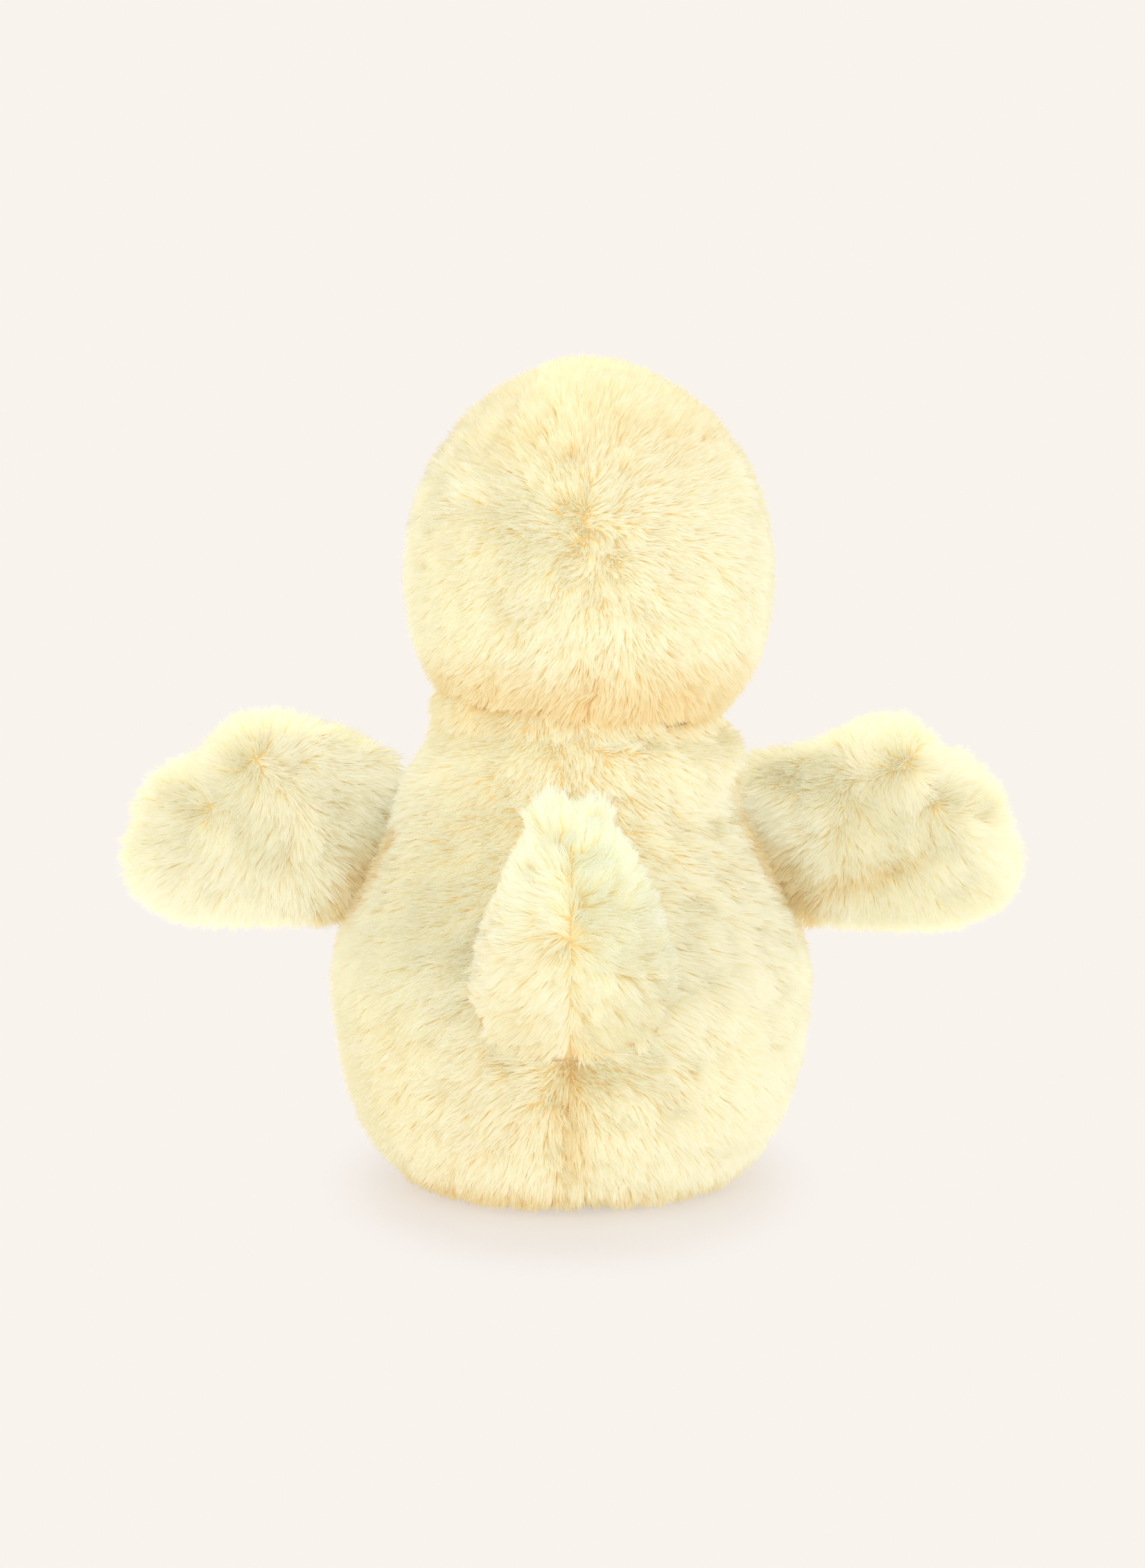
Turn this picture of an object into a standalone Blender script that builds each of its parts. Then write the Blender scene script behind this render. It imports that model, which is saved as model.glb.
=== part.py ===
"""A sitting plush duckling with spread wings: fur panels over wads of filling, a bean pouch in the seat,
felt bill and feet, and snapped-in eyes. Metres, +Z up. It stands on z = 0 and looks along -Y."""

import math

import bmesh
import bpy
from mathutils import Matrix, Vector

# Fits and fabrics that several pieces share
GAP = 0.0003  # between two pieces that touch on the real toy
OVERRUN = 0.003  # how far a cutter runs past what it cuts
PLUSH = 0.006  # fur panel: backing and laid pile
FELT = 0.0012  # bill and foot fabric

# Body: a pear up to the neck, whose half width follows the shares up its height
BODY_HEIGHT = 0.1035
BODY_WIDTH = 0.1024
BODY_DEPTH = 0.0975
BODY_PROFILE_SHARES = (
    (1.000, 0.615),
    (0.900, 0.668),
    (0.820, 0.728),
    (0.740, 0.800),
    (0.660, 0.872),
    (0.585, 0.937),
    (0.510, 0.983),
    (0.440, 1.000),
    (0.360, 0.994),
    (0.260, 0.966),
    (0.160, 0.909),
    (0.084, 0.833),
    (0.042, 0.778),
    (0.012, 0.714),
    (0.000, 0.655),
)
BASE_THICKNESS = 0.005  # the round bottom panel, up to its seam
BELLY_SEAM_DEPTH = 0.009  # how far the side seams lie in front of the wings
BODY_SIDES = 28
BODY_CORE_SIDES = 16

# Bean pouch that weights the seat
POUCH_RADIUS = 0.026
POUCH_HEIGHT = 0.020
POUCH_PROFILE_SHARES = ((1.0, 0.45), (0.9, 0.72), (0.6, 0.96), (0.35, 1.0), (0.12, 0.92), (0.0, 0.78))
POUCH_SIDES = 18

# Head: a ball below its pivot and a taller dome above it, so that it can turn in the neck's dish
HEAD_RADIUS = 0.0388
HEAD_PIVOT_HEIGHT = 0.128
HEAD_LEAN = 0.0038  # to the toy's right, as it sits
HEAD_CROWN = 0.0485
HEAD_CROWN_SHARES = (
    (0.975, 0.178),
    (0.930, 0.325),
    (0.870, 0.466),
    (0.780, 0.612),
    (0.670, 0.740),
    (0.550, 0.845),
    (0.420, 0.926),
    (0.280, 0.976),
    (0.140, 0.998),
)
HEAD_SIDES = 28
HEAD_CORE_SIDES = 16
BALL_STEPS = 8  # from the head's widest ring to its lowest point

# Tail: two panels drawn out to a blunt end that stands up from the back
TAIL_WIDTH = 0.044
TAIL_THICKNESS = 0.030
TAIL_ROOT_BEHIND = 0.028
TAIL_ROOT_HEIGHT = 0.042
TAIL_BEND_BEHIND = 0.061
TAIL_BEND_HEIGHT = 0.048
TAIL_TIP_BEHIND = 0.059
TAIL_TIP_HEIGHT = 0.0935
TAIL_SIZE_SHARES = (
    (0.00, 0.00),
    (0.12, 0.78),
    (0.25, 0.98),
    (0.38, 1.00),
    (0.50, 0.96),
    (0.63, 0.88),
    (0.75, 0.75),
    (0.87, 0.60),
    (0.96, 0.44),
    (1.00, 0.00),
)
TAIL_SIDES = 14

# Wings: flat pads whose outline shares run outwards and up from the middle of the root
WING_LENGTH = 0.0525
WING_HEIGHT = 0.0465
WING_THICKNESS = 0.021
WING_OUTLINE_SHARES = (
    (0.02, -0.310),
    (0.16, -0.345),
    (0.30, -0.358),
    (0.44, -0.362),
    (0.59, -0.366),
    (0.74, -0.345),
    (0.85, -0.290),
    (0.925, -0.215),
    (0.965, -0.118),
    (0.98, -0.010),
    (0.930, 0.095),
    (0.925, 0.205),
    (0.875, 0.312),
    (0.77, 0.394),
    (0.645, 0.415),
    (0.61, 0.516),
    (0.52, 0.600),
    (0.38, 0.634),
    (0.245, 0.612),
    (0.10, 0.580),
    (-0.04, 0.505),
    (-0.20, 0.390),
    (-0.15, 0.130),
    (-0.07, -0.100),
)
WING_MIDDLE_SHARE = (0.47, 0.085)
WING_ROOT_LOW = 0.058
WING_ROOT_HIGH = 0.086
WING_ROOT_RADIUS = 0.0045
WING_ROOT_SINK = 0.0032  # how far the root is drawn into the body's pile
WING_ROOT_TAPER = math.radians(60)  # half angle in which the pad narrows to its root
WING_DROOP = {"left": 0.0, "right": math.radians(2)}
WING_RINGS = 8

# Feet: felt pads with three webbed toes, splayed from the front of the base
FOOT_LENGTH = 0.031
FOOT_WIDTH = 0.0276
FOOT_THICKNESS = 0.009
FOOT_SPLAY = math.radians(28)
FOOT_OUTLINE_SHARES = (
    (-0.10, -0.24),
    (0.08, -0.31),
    (0.24, -0.36),
    (0.42, -0.44),
    (0.68, -0.50),
    (0.86, -0.47),
    (0.91, -0.36),
    (0.82, -0.235),
    (0.95, -0.12),
    (1.00, 0.0),
    (0.95, 0.12),
    (0.82, 0.235),
    (0.91, 0.36),
    (0.86, 0.47),
    (0.68, 0.50),
    (0.42, 0.44),
    (0.24, 0.36),
    (0.08, 0.31),
    (-0.10, 0.24),
)
FOOT_MIDDLE_SHARE = (0.47, 0.0)
FOOT_ROOT_RADIUS = 0.0032
FOOT_ROOT_SINK = 0.0016
FOOT_ROOT_LENGTH = 0.015
FOOT_ROOT_TAPER = math.radians(36)
FOOT_RINGS = 6

# Bill: two felt halves that meet in a level mouth line
BILL_WIDTH = 0.027
BILL_REACH = 0.017  # in front of the head
BILL_THICKNESS = 0.013
BILL_RISE = 0.001  # of the mouth line above the head's pivot
BILL_OUTLINE_SHARES = (
    (0.0, -0.44),
    (0.25, -0.41),
    (0.48, -0.40),
    (0.70, -0.46),
    (0.88, -0.40),
    (0.98, -0.22),
    (1.0, 0.0),
    (0.98, 0.22),
    (0.88, 0.40),
    (0.70, 0.46),
    (0.48, 0.40),
    (0.25, 0.41),
    (0.0, 0.44),
    (-0.20, 0.25),
    (-0.20, -0.25),
)
BILL_MIDDLE_SHARE = (0.35, 0.0)
BILL_RINGS = 6

# Eyes: plastic domes on shanks, each locked by a washer behind the fur panel
EYE_RADIUS = 0.0038
EYE_BULGE = 0.0030
EYE_SINK = 0.0020  # of the dome's back into the pile
EYE_TURN = math.radians(36)  # out from the bill
EYE_RISE = 0.009  # above the head's pivot
SHANK_RADIUS = 0.0013
WASHER_RADIUS = 0.0045
WASHER_THICKNESS = 0.0012
SHANK_END = 0.0010  # of the shank beyond its washer
EYE_SIDES = 16

SIDE_SIGNS = {"left": 1, "right": -1}  # the toy's left is +X
ROOT_SIDES = 18

toy = bpy.data.collections.new("plush_duckling")
cutters = bpy.data.collections.new("cutters")


def material(name, colour, roughness):
    made = bpy.data.materials.new(name)
    made.use_nodes = True
    shader = made.node_tree.nodes["Principled BSDF"]
    shader.inputs["Base Color"].default_value = (*colour, 1.0)
    shader.inputs["Roughness"].default_value = roughness
    shader.inputs["Metallic"].default_value = 0.0
    return made


def put(obj, collection):
    """Moves a new object into one collection only."""
    for old in obj.users_collection:
        old.objects.unlink(obj)
    collection.objects.link(obj)
    return obj


def from_bmesh(name, bm, collection=cutters):
    bmesh.ops.recalc_face_normals(bm, faces=bm.faces)
    if bm.calc_volume(signed=True) < 0:
        bmesh.ops.reverse_faces(bm, faces=bm.faces)
    mesh = bpy.data.meshes.new(name)
    bm.to_mesh(mesh)
    bm.free()
    obj = put(bpy.data.objects.new(name, mesh), collection)
    if collection is cutters:
        obj.hide_render = True
        obj.display_type = "WIRE"
    return obj


def turned(name, profile, sides, centre, depth_ratio=1.0):
    """A shape turned about an upright axis. profile runs top to bottom as (radius, height)."""
    bm = bmesh.new()
    points = [bm.verts.new((radius, 0, height)) for radius, height in profile]
    for upper, lower in zip(points, points[1:]):
        bm.edges.new((upper, lower))
    mesh = bpy.data.meshes.new(name)
    bm.to_mesh(mesh)
    bm.free()
    obj = put(bpy.data.objects.new(name, mesh), cutters)
    screw = obj.modifiers.new("turn", "SCREW")
    screw.steps = screw.render_steps = sides
    screw.use_merge_vertices = True
    screw.merge_threshold = GAP / 10
    bpy.context.view_layer.update()
    graph = bpy.context.evaluated_depsgraph_get()
    solid = bpy.data.meshes.new_from_object(obj.evaluated_get(graph))
    bpy.data.objects.remove(obj)
    solid.transform(Matrix.Translation(centre) @ Matrix.Diagonal((1.0, depth_ratio, 1.0, 1.0)))
    bm = bmesh.new()
    bm.from_mesh(solid)
    bpy.data.meshes.remove(solid)
    return from_bmesh(name, bm)


def inset(profile, distance):
    """The profile moved inwards by a distance, square to itself. Its two ends stay on the axis."""
    moved = [(0.0, profile[0][1] - distance)]
    for before, here, after in zip(profile, profile[1:], profile[2:]):
        along = Vector((after[0] - before[0], after[1] - before[1])).normalized()
        moved.append((here[0] + along.y * distance, here[1] - along.x * distance))
    moved.append((0.0, profile[-1][1] + distance))
    return moved


def ball(name, radius, centre, sides, rings):
    bm = bmesh.new()
    bmesh.ops.create_uvsphere(bm, u_segments=sides, v_segments=rings, radius=radius)
    bmesh.ops.translate(bm, verts=bm.verts, vec=centre)
    return from_bmesh(name, bm)


def block(name, low, high):
    """A box cutter between two corners."""
    low, high = Vector(low), Vector(high)
    bm = bmesh.new()
    bmesh.ops.create_cube(bm, size=1.0)
    bmesh.ops.scale(bm, verts=bm.verts, vec=high - low)
    bmesh.ops.translate(bm, verts=bm.verts, vec=(low + high) / 2)
    return from_bmesh(name, bm)


def rod(name, start, end, radius, sides):
    start, end = Vector(start), Vector(end)
    bm = bmesh.new()
    bmesh.ops.create_cone(
        bm,
        cap_ends=True,
        segments=sides,
        radius1=radius,
        radius2=radius,
        depth=(end - start).length,
    )
    turn = (end - start).to_track_quat("Z", "Y").to_matrix().to_4x4()
    bmesh.ops.transform(bm, verts=bm.verts, matrix=Matrix.Translation((start + end) / 2) @ turn)
    return from_bmesh(name, bm)


def pad(name, outline, middle, thickness, rings, frame, less=0.0):
    """A stuffed pad: a sphere whose rings follow the outline, with its poles square to the pad's plane.
    frame carries (outwards, across, thickness) to the toy, and less is taken off the pad all round."""
    middle = Vector(middle)
    rim = []
    for point in outline:
        arm = Vector(point) - middle
        rim.append(middle + arm * (1 - less / arm.length))
    bm = bmesh.new()
    bmesh.ops.create_uvsphere(bm, u_segments=len(rim), v_segments=rings, radius=1.0)
    for vert in bm.verts:
        reach = math.hypot(vert.co.x, vert.co.y)
        turn = math.atan2(vert.co.y, vert.co.x) / math.tau * len(rim)
        edge = rim[round(turn) % len(rim)]
        flat = middle + (edge - middle) * reach
        vert.co = frame @ Vector((flat.x, flat.y, vert.co.z * (thickness / 2 - less)))
    return from_bmesh(name, bm)


def carve(target, *tools):
    for tool in tools:
        cut = target.modifiers.new("cut_" + tool.name, "BOOLEAN")
        cut.operation = "DIFFERENCE"
        cut.object = tool
    return target


def join(target, added):
    """Fuses a shape to a piece once its cuts are made."""
    union = target.modifiers.new("join_" + added.name, "BOOLEAN")
    union.operation = "UNION"
    union.object = added


def piece(name, form, finish, *tools):
    """A node: a copy of a form in its material, less the tools."""
    obj = bpy.data.objects.new(name, form.data.copy())
    toy.objects.link(obj)
    obj.data.materials.clear()
    obj.data.materials.append(finish)
    obj.data.shade_smooth()
    obj.data.set_sharp_from_angle(angle=math.radians(50))
    return carve(obj, *tools)


def body_profile():
    """The body's outline from its top middle to its bottom middle."""
    rim = [(w * BODY_WIDTH / 2, h * BODY_HEIGHT) for h, w in BODY_PROFILE_SHARES]
    return [(0.0, rim[0][1]), *rim, (0.0, rim[-1][1])]


def body_radius(height):
    """The body's half width at a height."""
    rim = body_profile()[1:-1]
    for upper, lower in zip(rim, rim[1:]):
        if upper[1] >= height >= lower[1]:
            share = (height - lower[1]) / (upper[1] - lower[1])
            return lower[0] + share * (upper[0] - lower[0])
    return rim[0][0]


def body_form(name, distance, sides, every=1):
    """The whole pear, made smaller by a distance all round but for its bottom."""
    whole = body_profile()
    coarse = [whole[0], *whole[1:-1:every], whole[-1]]
    if distance:
        coarse = inset(coarse, distance)
        coarse[-2:] = [(coarse[-2][0], 0.0), (0.0, 0.0)]
    return turned(name, coarse, sides, Vector(), BODY_DEPTH / BODY_WIDTH)


def head_profile():
    """The head's outline about its pivot: the crown's shares, then a ball below the widest ring."""
    dome = [(w * HEAD_RADIUS, h * HEAD_CROWN) for h, w in HEAD_CROWN_SHARES]
    steps = [math.pi / 2 * step / BALL_STEPS for step in range(BALL_STEPS)]
    bowl = [(HEAD_RADIUS * math.cos(a), -HEAD_RADIUS * math.sin(a)) for a in steps]
    return [(0.0, HEAD_CROWN), *dome, *bowl, (0.0, -HEAD_RADIUS)]


def head_radius(rise):
    """The head's radius at a height above its pivot."""
    rim = [(HEAD_RADIUS, 0.0), *reversed([(w * HEAD_RADIUS, h * HEAD_CROWN) for h, w in HEAD_CROWN_SHARES])]
    for lower, upper in zip(rim, rim[1:]):
        if upper[1] >= rise >= lower[1]:
            share = (rise - lower[1]) / (upper[1] - lower[1])
            return lower[0] + share * (upper[0] - lower[0])
    return rim[-1][0]


HEAD_CENTRE = Vector((-HEAD_LEAN, 0.0, HEAD_PIVOT_HEIGHT))
FAR = BODY_WIDTH + HEAD_CROWN + HEAD_PIVOT_HEIGHT  # past every side of the toy


def half_space(name, side, at):
    """A box cutter that fills one side of a plane, such as +x or -z."""
    axis = "xyz".index(side[1])
    low, high = Vector((-FAR, -FAR, -FAR)), Vector((FAR, FAR, FAR))
    if side[0] == "+":
        low[axis] = at
    else:
        high[axis] = at
    return block(name, low, high)


def neck_dish(name, room, sides, rings):
    """A faceted ball that leaves this much room round the head's ball, however the head is turned."""
    facets = math.cos(math.pi / sides) * math.cos(math.pi / (2 * rings))
    return ball(name, (HEAD_RADIUS + room) / facets, HEAD_CENTRE, sides, rings)


def wing_root(side):
    """The two ends of a wing's root, the line that it swings about."""
    sign = SIDE_SIGNS[side]
    low = Vector((body_radius(WING_ROOT_LOW), 0.0, WING_ROOT_LOW))
    high = Vector((body_radius(WING_ROOT_HIGH), 0.0, WING_ROOT_HIGH))
    along = (high - low).normalized()
    outwards = Vector((along.z, 0.0, -along.x)) * (WING_ROOT_RADIUS - WING_ROOT_SINK)
    ends = [low + outwards, high + outwards]
    return [Vector((sign * end.x, end.y, end.z)) for end in ends]


def wing_frame(side):
    """Carries a wing's (outwards, up, thickness) to the toy, with its droop."""
    low, high = wing_root(side)
    sign = SIDE_SIGNS[side]
    columns = Matrix(((sign, 0, 0, 0), (0, 0, 1, 0), (0, 1, 0, 0), (0, 0, 0, 1)))
    droop = Matrix.Rotation(-WING_DROOP[side], 4, "Z")
    return Matrix.Translation((low + high) / 2) @ columns @ droop


def wing_form(name, side, less=0.0):
    outline = [(u * WING_LENGTH, v * WING_HEIGHT) for u, v in WING_OUTLINE_SHARES]
    middle = (WING_MIDDLE_SHARE[0] * WING_LENGTH, WING_MIDDLE_SHARE[1] * WING_HEIGHT)
    return pad(name, outline, middle, WING_THICKNESS, WING_RINGS, wing_frame(side), less)


def foot_root(side):
    """The middle of a foot's root and the direction that its toes point."""
    sign = SIDE_SIGNS[side]
    height = FOOT_THICKNESS / 2 + GAP
    reach = body_radius(height) * BODY_DEPTH / BODY_WIDTH + FOOT_ROOT_RADIUS - FOOT_ROOT_SINK
    toes = Vector((sign * math.sin(FOOT_SPLAY), -math.cos(FOOT_SPLAY), 0.0))
    return toes * reach + Vector((0.0, 0.0, height)), toes


def foot_frame(side):
    """Carries a foot's (forwards, across, thickness) to the toy."""
    centre, toes = foot_root(side)
    across = Vector((0.0, 0.0, 1.0)).cross(toes)
    turn = Matrix((toes, across, (0.0, 0.0, 1.0))).transposed().to_4x4()
    return Matrix.Translation(centre) @ turn


def foot_form(name, side, less=0.0):
    outline = [(u * FOOT_LENGTH, v * FOOT_WIDTH) for u, v in FOOT_OUTLINE_SHARES]
    middle = (FOOT_MIDDLE_SHARE[0] * FOOT_LENGTH, FOOT_MIDDLE_SHARE[1] * FOOT_WIDTH)
    return pad(name, outline, middle, FOOT_THICKNESS, FOOT_RINGS, foot_frame(side), less)


def foot_axis(side):
    """The two ends of a foot's root."""
    centre, toes = foot_root(side)
    across = Vector((0.0, 0.0, 1.0)).cross(toes)
    return centre - across * FOOT_ROOT_LENGTH / 2, centre + across * FOOT_ROOT_LENGTH / 2


def root_rods(name, ends, radius):
    """A root's rod and the longer groove that its rod lies in."""
    start, end = Vector(ends[0]), Vector(ends[1])
    along = (end - start).normalized()
    groove = (radius + GAP) / math.cos(math.pi / ROOT_SIDES)
    return (
        rod(name + "_rod", start, end, radius, ROOT_SIDES),
        rod(name + "_groove", start - along * GAP, end + along * GAP, groove, ROOT_SIDES),
    )


def root_cheeks(name, ends, outwards, taper):
    """Two cutters that narrow a pad to its root within this half angle, so that it can swing."""
    start, end = Vector(ends[0]), Vector(ends[1])
    along = (end - start).normalized()
    across = along.cross(outwards)
    columns = Matrix((outwards, across, along)).transposed().to_4x4()
    cheeks = []
    for side, low, high in ((1, 0.0, FAR), (-1, -FAR, 0.0)):
        cheek = block(f"{name}_cheek_{side}", (-FAR, low, -FAR), (FAR, high, FAR))
        lean = Matrix.Rotation(side * taper, 4, "Z")
        cheek.data.transform(Matrix.Translation(start) @ columns @ lean)
        cheeks.append(cheek)
    return cheeks


def tail_form(name, less=0.0):
    """The tail as a bent cone on a curved line, smaller all round by less."""
    root = Vector((0.0, TAIL_ROOT_BEHIND, TAIL_ROOT_HEIGHT))
    bend = Vector((0.0, TAIL_BEND_BEHIND, TAIL_BEND_HEIGHT))
    tip = Vector((0.0, TAIL_TIP_BEHIND, TAIL_TIP_HEIGHT))
    steps = len(TAIL_SIZE_SHARES) - 1
    bm = bmesh.new()
    bmesh.ops.create_uvsphere(bm, u_segments=TAIL_SIDES, v_segments=steps, radius=1.0)
    for vert in bm.verts:
        ring = round(math.acos(max(-1.0, min(1.0, -vert.co.z))) / math.pi * steps)
        along_share, size = TAIL_SIZE_SHARES[ring]
        share = along_share * (1 - 2 * less / (tip - root).length)
        spot = root.lerp(bend, share).lerp(bend.lerp(tip, share), share)
        along = (bend - root).lerp(tip - bend, share).normalized()
        across = Vector((1.0, 0.0, 0.0))
        round_reach = math.hypot(vert.co.x, vert.co.y)
        if size == 0.0 or round_reach == 0.0:
            vert.co = spot
            continue
        wide = max(size * TAIL_WIDTH / 2 - less, GAP) * vert.co.x / round_reach
        thick = max(size * TAIL_THICKNESS / 2 - less, GAP) * vert.co.y / round_reach
        vert.co = spot + across * wide + along.cross(across) * thick
    return from_bmesh(name, bm)


def make_tail(plush, filling, body_skin):
    outer = tail_form("tail_outer")
    hollow = tail_form("tail_hollow", PLUSH)
    core = tail_form("tail_core", PLUSH + GAP)
    for side, sign in SIDE_SIGNS.items():
        beyond = half_space(f"tail_{side}_limit", "-x" if sign > 0 else "+x", sign * GAP / 2)
        piece(f"tail_{side}_panel", outer, plush, body_skin, hollow, beyond)
    piece("tail_stuffing", core, filling, body_skin)


def make_body(plush, filling, pouch_cloth, grooves):
    outer = body_form("body_outer", 0.0, BODY_SIDES)
    hollow = body_form("body_hollow", PLUSH, BODY_CORE_SIDES, 2)
    core = body_form("body_core", PLUSH + GAP, BODY_CORE_SIDES, 2)
    dish = neck_dish("neck_dish", GAP, HEAD_SIDES, 2 * BALL_STEPS)
    neck_floor = neck_dish("neck_floor", GAP + PLUSH, HEAD_CORE_SIDES, BALL_STEPS)
    neck_room = neck_dish("neck_room", GAP + PLUSH + GAP, HEAD_CORE_SIDES, BALL_STEPS)
    carve(hollow, neck_floor)
    base_seam = half_space("below_base_seam", "-z", BASE_THICKNESS + GAP / 2)
    in_front = half_space("in_front_of_side_seams", "-y", GAP / 2 - BELLY_SEAM_DEPTH)
    behind = half_space("behind_side_seams", "+y", -GAP / 2 - BELLY_SEAM_DEPTH)
    for side, sign in SIDE_SIGNS.items():
        beyond = half_space(f"body_{side}_limit", "-x" if sign > 0 else "+x", sign * GAP / 2)
        cuts = (in_front, base_seam, beyond, hollow, dish, grooves[side])
        piece(f"body_{side}_panel", outer, plush, *cuts)
    foot_grooves = [grooves["left_foot"], grooves["right_foot"]]
    piece("belly_panel", outer, plush, behind, base_seam, hollow, dish, *foot_grooves)
    above = half_space("above_base_seam", "+z", BASE_THICKNESS - GAP / 2)
    piece("base_panel", outer, plush, above, *foot_grooves)
    pouch_at = Vector((0.0, 0.0, BASE_THICKNESS + GAP))
    rim = [(w * POUCH_RADIUS, h * POUCH_HEIGHT) for h, w in POUCH_PROFILE_SHARES]
    pouch_line = [(0.0, POUCH_HEIGHT), *rim, (0.0, 0.0)]
    pouch = turned("pouch", pouch_line, POUCH_SIDES, pouch_at)
    pocket = turned("pouch_pocket", inset(pouch_line, -GAP), POUCH_SIDES, pouch_at)
    piece("bean_pouch", pouch, pouch_cloth)
    under = half_space("below_stuffing", "-z", BASE_THICKNESS + GAP)
    piece("body_stuffing", core, filling, neck_room, under, pocket)


def make_head(plush, filling, eye_tools):
    outer = turned("head_outer", head_profile(), HEAD_SIDES, HEAD_CENTRE)
    whole = head_profile()
    coarse = [whole[0], *whole[2:-1:2], whole[-1]]
    hollow = turned("head_hollow", inset(coarse, PLUSH), HEAD_CORE_SIDES, HEAD_CENTRE)
    core = turned("head_core", inset(coarse, PLUSH + GAP), HEAD_CORE_SIDES, HEAD_CENTRE)
    for side, sign in SIDE_SIGNS.items():
        at = sign * GAP / 2 - HEAD_LEAN
        beyond = half_space(f"head_{side}_limit", "-x" if sign > 0 else "+x", at)
        piece(f"head_{side}_panel", outer, plush, hollow, beyond, *eye_tools[side])
    piece("head_stuffing", core, filling, eye_tools["left"][2], eye_tools["right"][2])


def make_eyes(black, washer_finish):
    """The eyes and their washers. Returns the tools that make room for each in the panels and the wad."""
    tools = {}
    for side, sign in SIDE_SIGNS.items():
        facing = Vector((sign * math.sin(EYE_TURN), -math.cos(EYE_TURN), 0.0))
        surface = HEAD_CENTRE + facing * head_radius(EYE_RISE) + Vector((0.0, 0.0, EYE_RISE))
        back = surface - facing * EYE_SINK
        washer_front = surface - facing * (PLUSH + GAP)
        washer_back = washer_front - facing * WASHER_THICKNESS
        shank_tip = washer_back - facing * SHANK_END
        turn = facing.to_track_quat("Z", "Y").to_matrix().to_4x4()
        bm = bmesh.new()
        bmesh.ops.create_uvsphere(bm, u_segments=EYE_SIDES, v_segments=EYE_SIDES // 2, radius=EYE_RADIUS)
        tall = (EYE_SINK + EYE_BULGE) / EYE_RADIUS
        bmesh.ops.transform(
            bm,
            verts=bm.verts,
            matrix=Matrix.Translation(back) @ turn @ Matrix.Diagonal((1.0, 1.0, tall, 1.0)),
        )
        dome = from_bmesh(f"{side}_eye_dome", bm)
        shank = rod(f"{side}_eye_shank", back + facing * GAP, shank_tip, SHANK_RADIUS, EYE_SIDES)
        under = rod(
            f"{side}_eye_under",
            back,
            back - facing * (EYE_SINK + EYE_BULGE + OVERRUN),
            EYE_RADIUS + OVERRUN,
            EYE_SIDES,
        )
        eye = piece(f"{side}_eye", dome, black, under)
        join(eye, shank)
        hole = rod(
            f"{side}_shank_hole",
            surface,
            shank_tip - facing * GAP,
            (SHANK_RADIUS + GAP) / math.cos(math.pi / EYE_SIDES),
            EYE_SIDES,
        )
        washer = rod(f"{side}_washer_disc", washer_front, washer_back, WASHER_RADIUS, EYE_SIDES)
        piece(f"{side}_eye_washer", washer, washer_finish, hole)
        pocket = rod(
            f"{side}_eye_pocket",
            back - facing * GAP,
            surface + facing * OVERRUN,
            (EYE_RADIUS + GAP) / math.cos(math.pi / EYE_SIDES),
            EYE_SIDES,
        )
        room = rod(
            f"{side}_washer_room",
            washer_front + facing * GAP,
            shank_tip - facing * GAP,
            WASHER_RADIUS + GAP,
            EYE_SIDES,
        )
        tools[side] = (hole, pocket, room)
    return tools


def bill_form(name, less=0.0):
    mouth = HEAD_CENTRE + Vector((0.0, -head_radius(BILL_RISE), BILL_RISE))
    columns = Matrix(((0, 1, 0, 0), (-1, 0, 0, 0), (0, 0, 1, 0), (0, 0, 0, 1)))
    outline = [(u * BILL_REACH, v * BILL_WIDTH) for u, v in BILL_OUTLINE_SHARES]
    middle = (BILL_MIDDLE_SHARE[0] * BILL_REACH, BILL_MIDDLE_SHARE[1] * BILL_WIDTH)
    frame = Matrix.Translation(mouth) @ columns
    return pad(name, outline, middle, BILL_THICKNESS, BILL_RINGS, frame, less)


def make_bill(felt, filling):
    outer = bill_form("bill_outer")
    hollow = bill_form("bill_hollow", FELT)
    core = bill_form("bill_core", FELT + GAP)
    seat = turned("bill_seat", inset(head_profile(), -GAP), HEAD_SIDES, HEAD_CENTRE)
    mouth = HEAD_CENTRE.z + BILL_RISE
    below = half_space("below_mouth", "-z", mouth + GAP / 2)
    above = half_space("above_mouth", "+z", mouth - GAP / 2)
    piece("bill_top", outer, felt, seat, hollow, below)
    piece("bill_underside", outer, felt, seat, hollow, above)
    piece("bill_stuffing", core, filling, seat)


def make_wings(plush, filling):
    """Both wings, and the groove that each root needs in the body."""
    grooves = {}
    for side in SIDE_SIGNS:
        ends = wing_root(side)
        along = (ends[1] - ends[0]).normalized()
        outwards = along.cross(Vector((0.0, -SIDE_SIGNS[side], 0.0)))
        cheeks = root_cheeks(f"{side}_wing", ends, outwards, WING_ROOT_TAPER)
        root, groove = root_rods(f"{side}_wing", ends, WING_ROOT_RADIUS)
        outer = wing_form(f"{side}_wing_outer", side)
        hollow = wing_form(f"{side}_wing_hollow", side, PLUSH)
        core = wing_form(f"{side}_wing_core", side, PLUSH + GAP)
        in_front = half_space(f"{side}_wing_front_limit", "-y", GAP / 2)
        behind = half_space(f"{side}_wing_back_limit", "+y", -GAP / 2)
        back = piece(f"{side}_wing_back_skin", outer, plush, hollow, in_front, *cheeks)
        join(back, root)
        piece(f"{side}_wing_front_skin", outer, plush, hollow, behind, *cheeks, groove)
        piece(f"{side}_wing_stuffing", core, filling, groove)
        grooves[side] = groove
    return grooves


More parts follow.
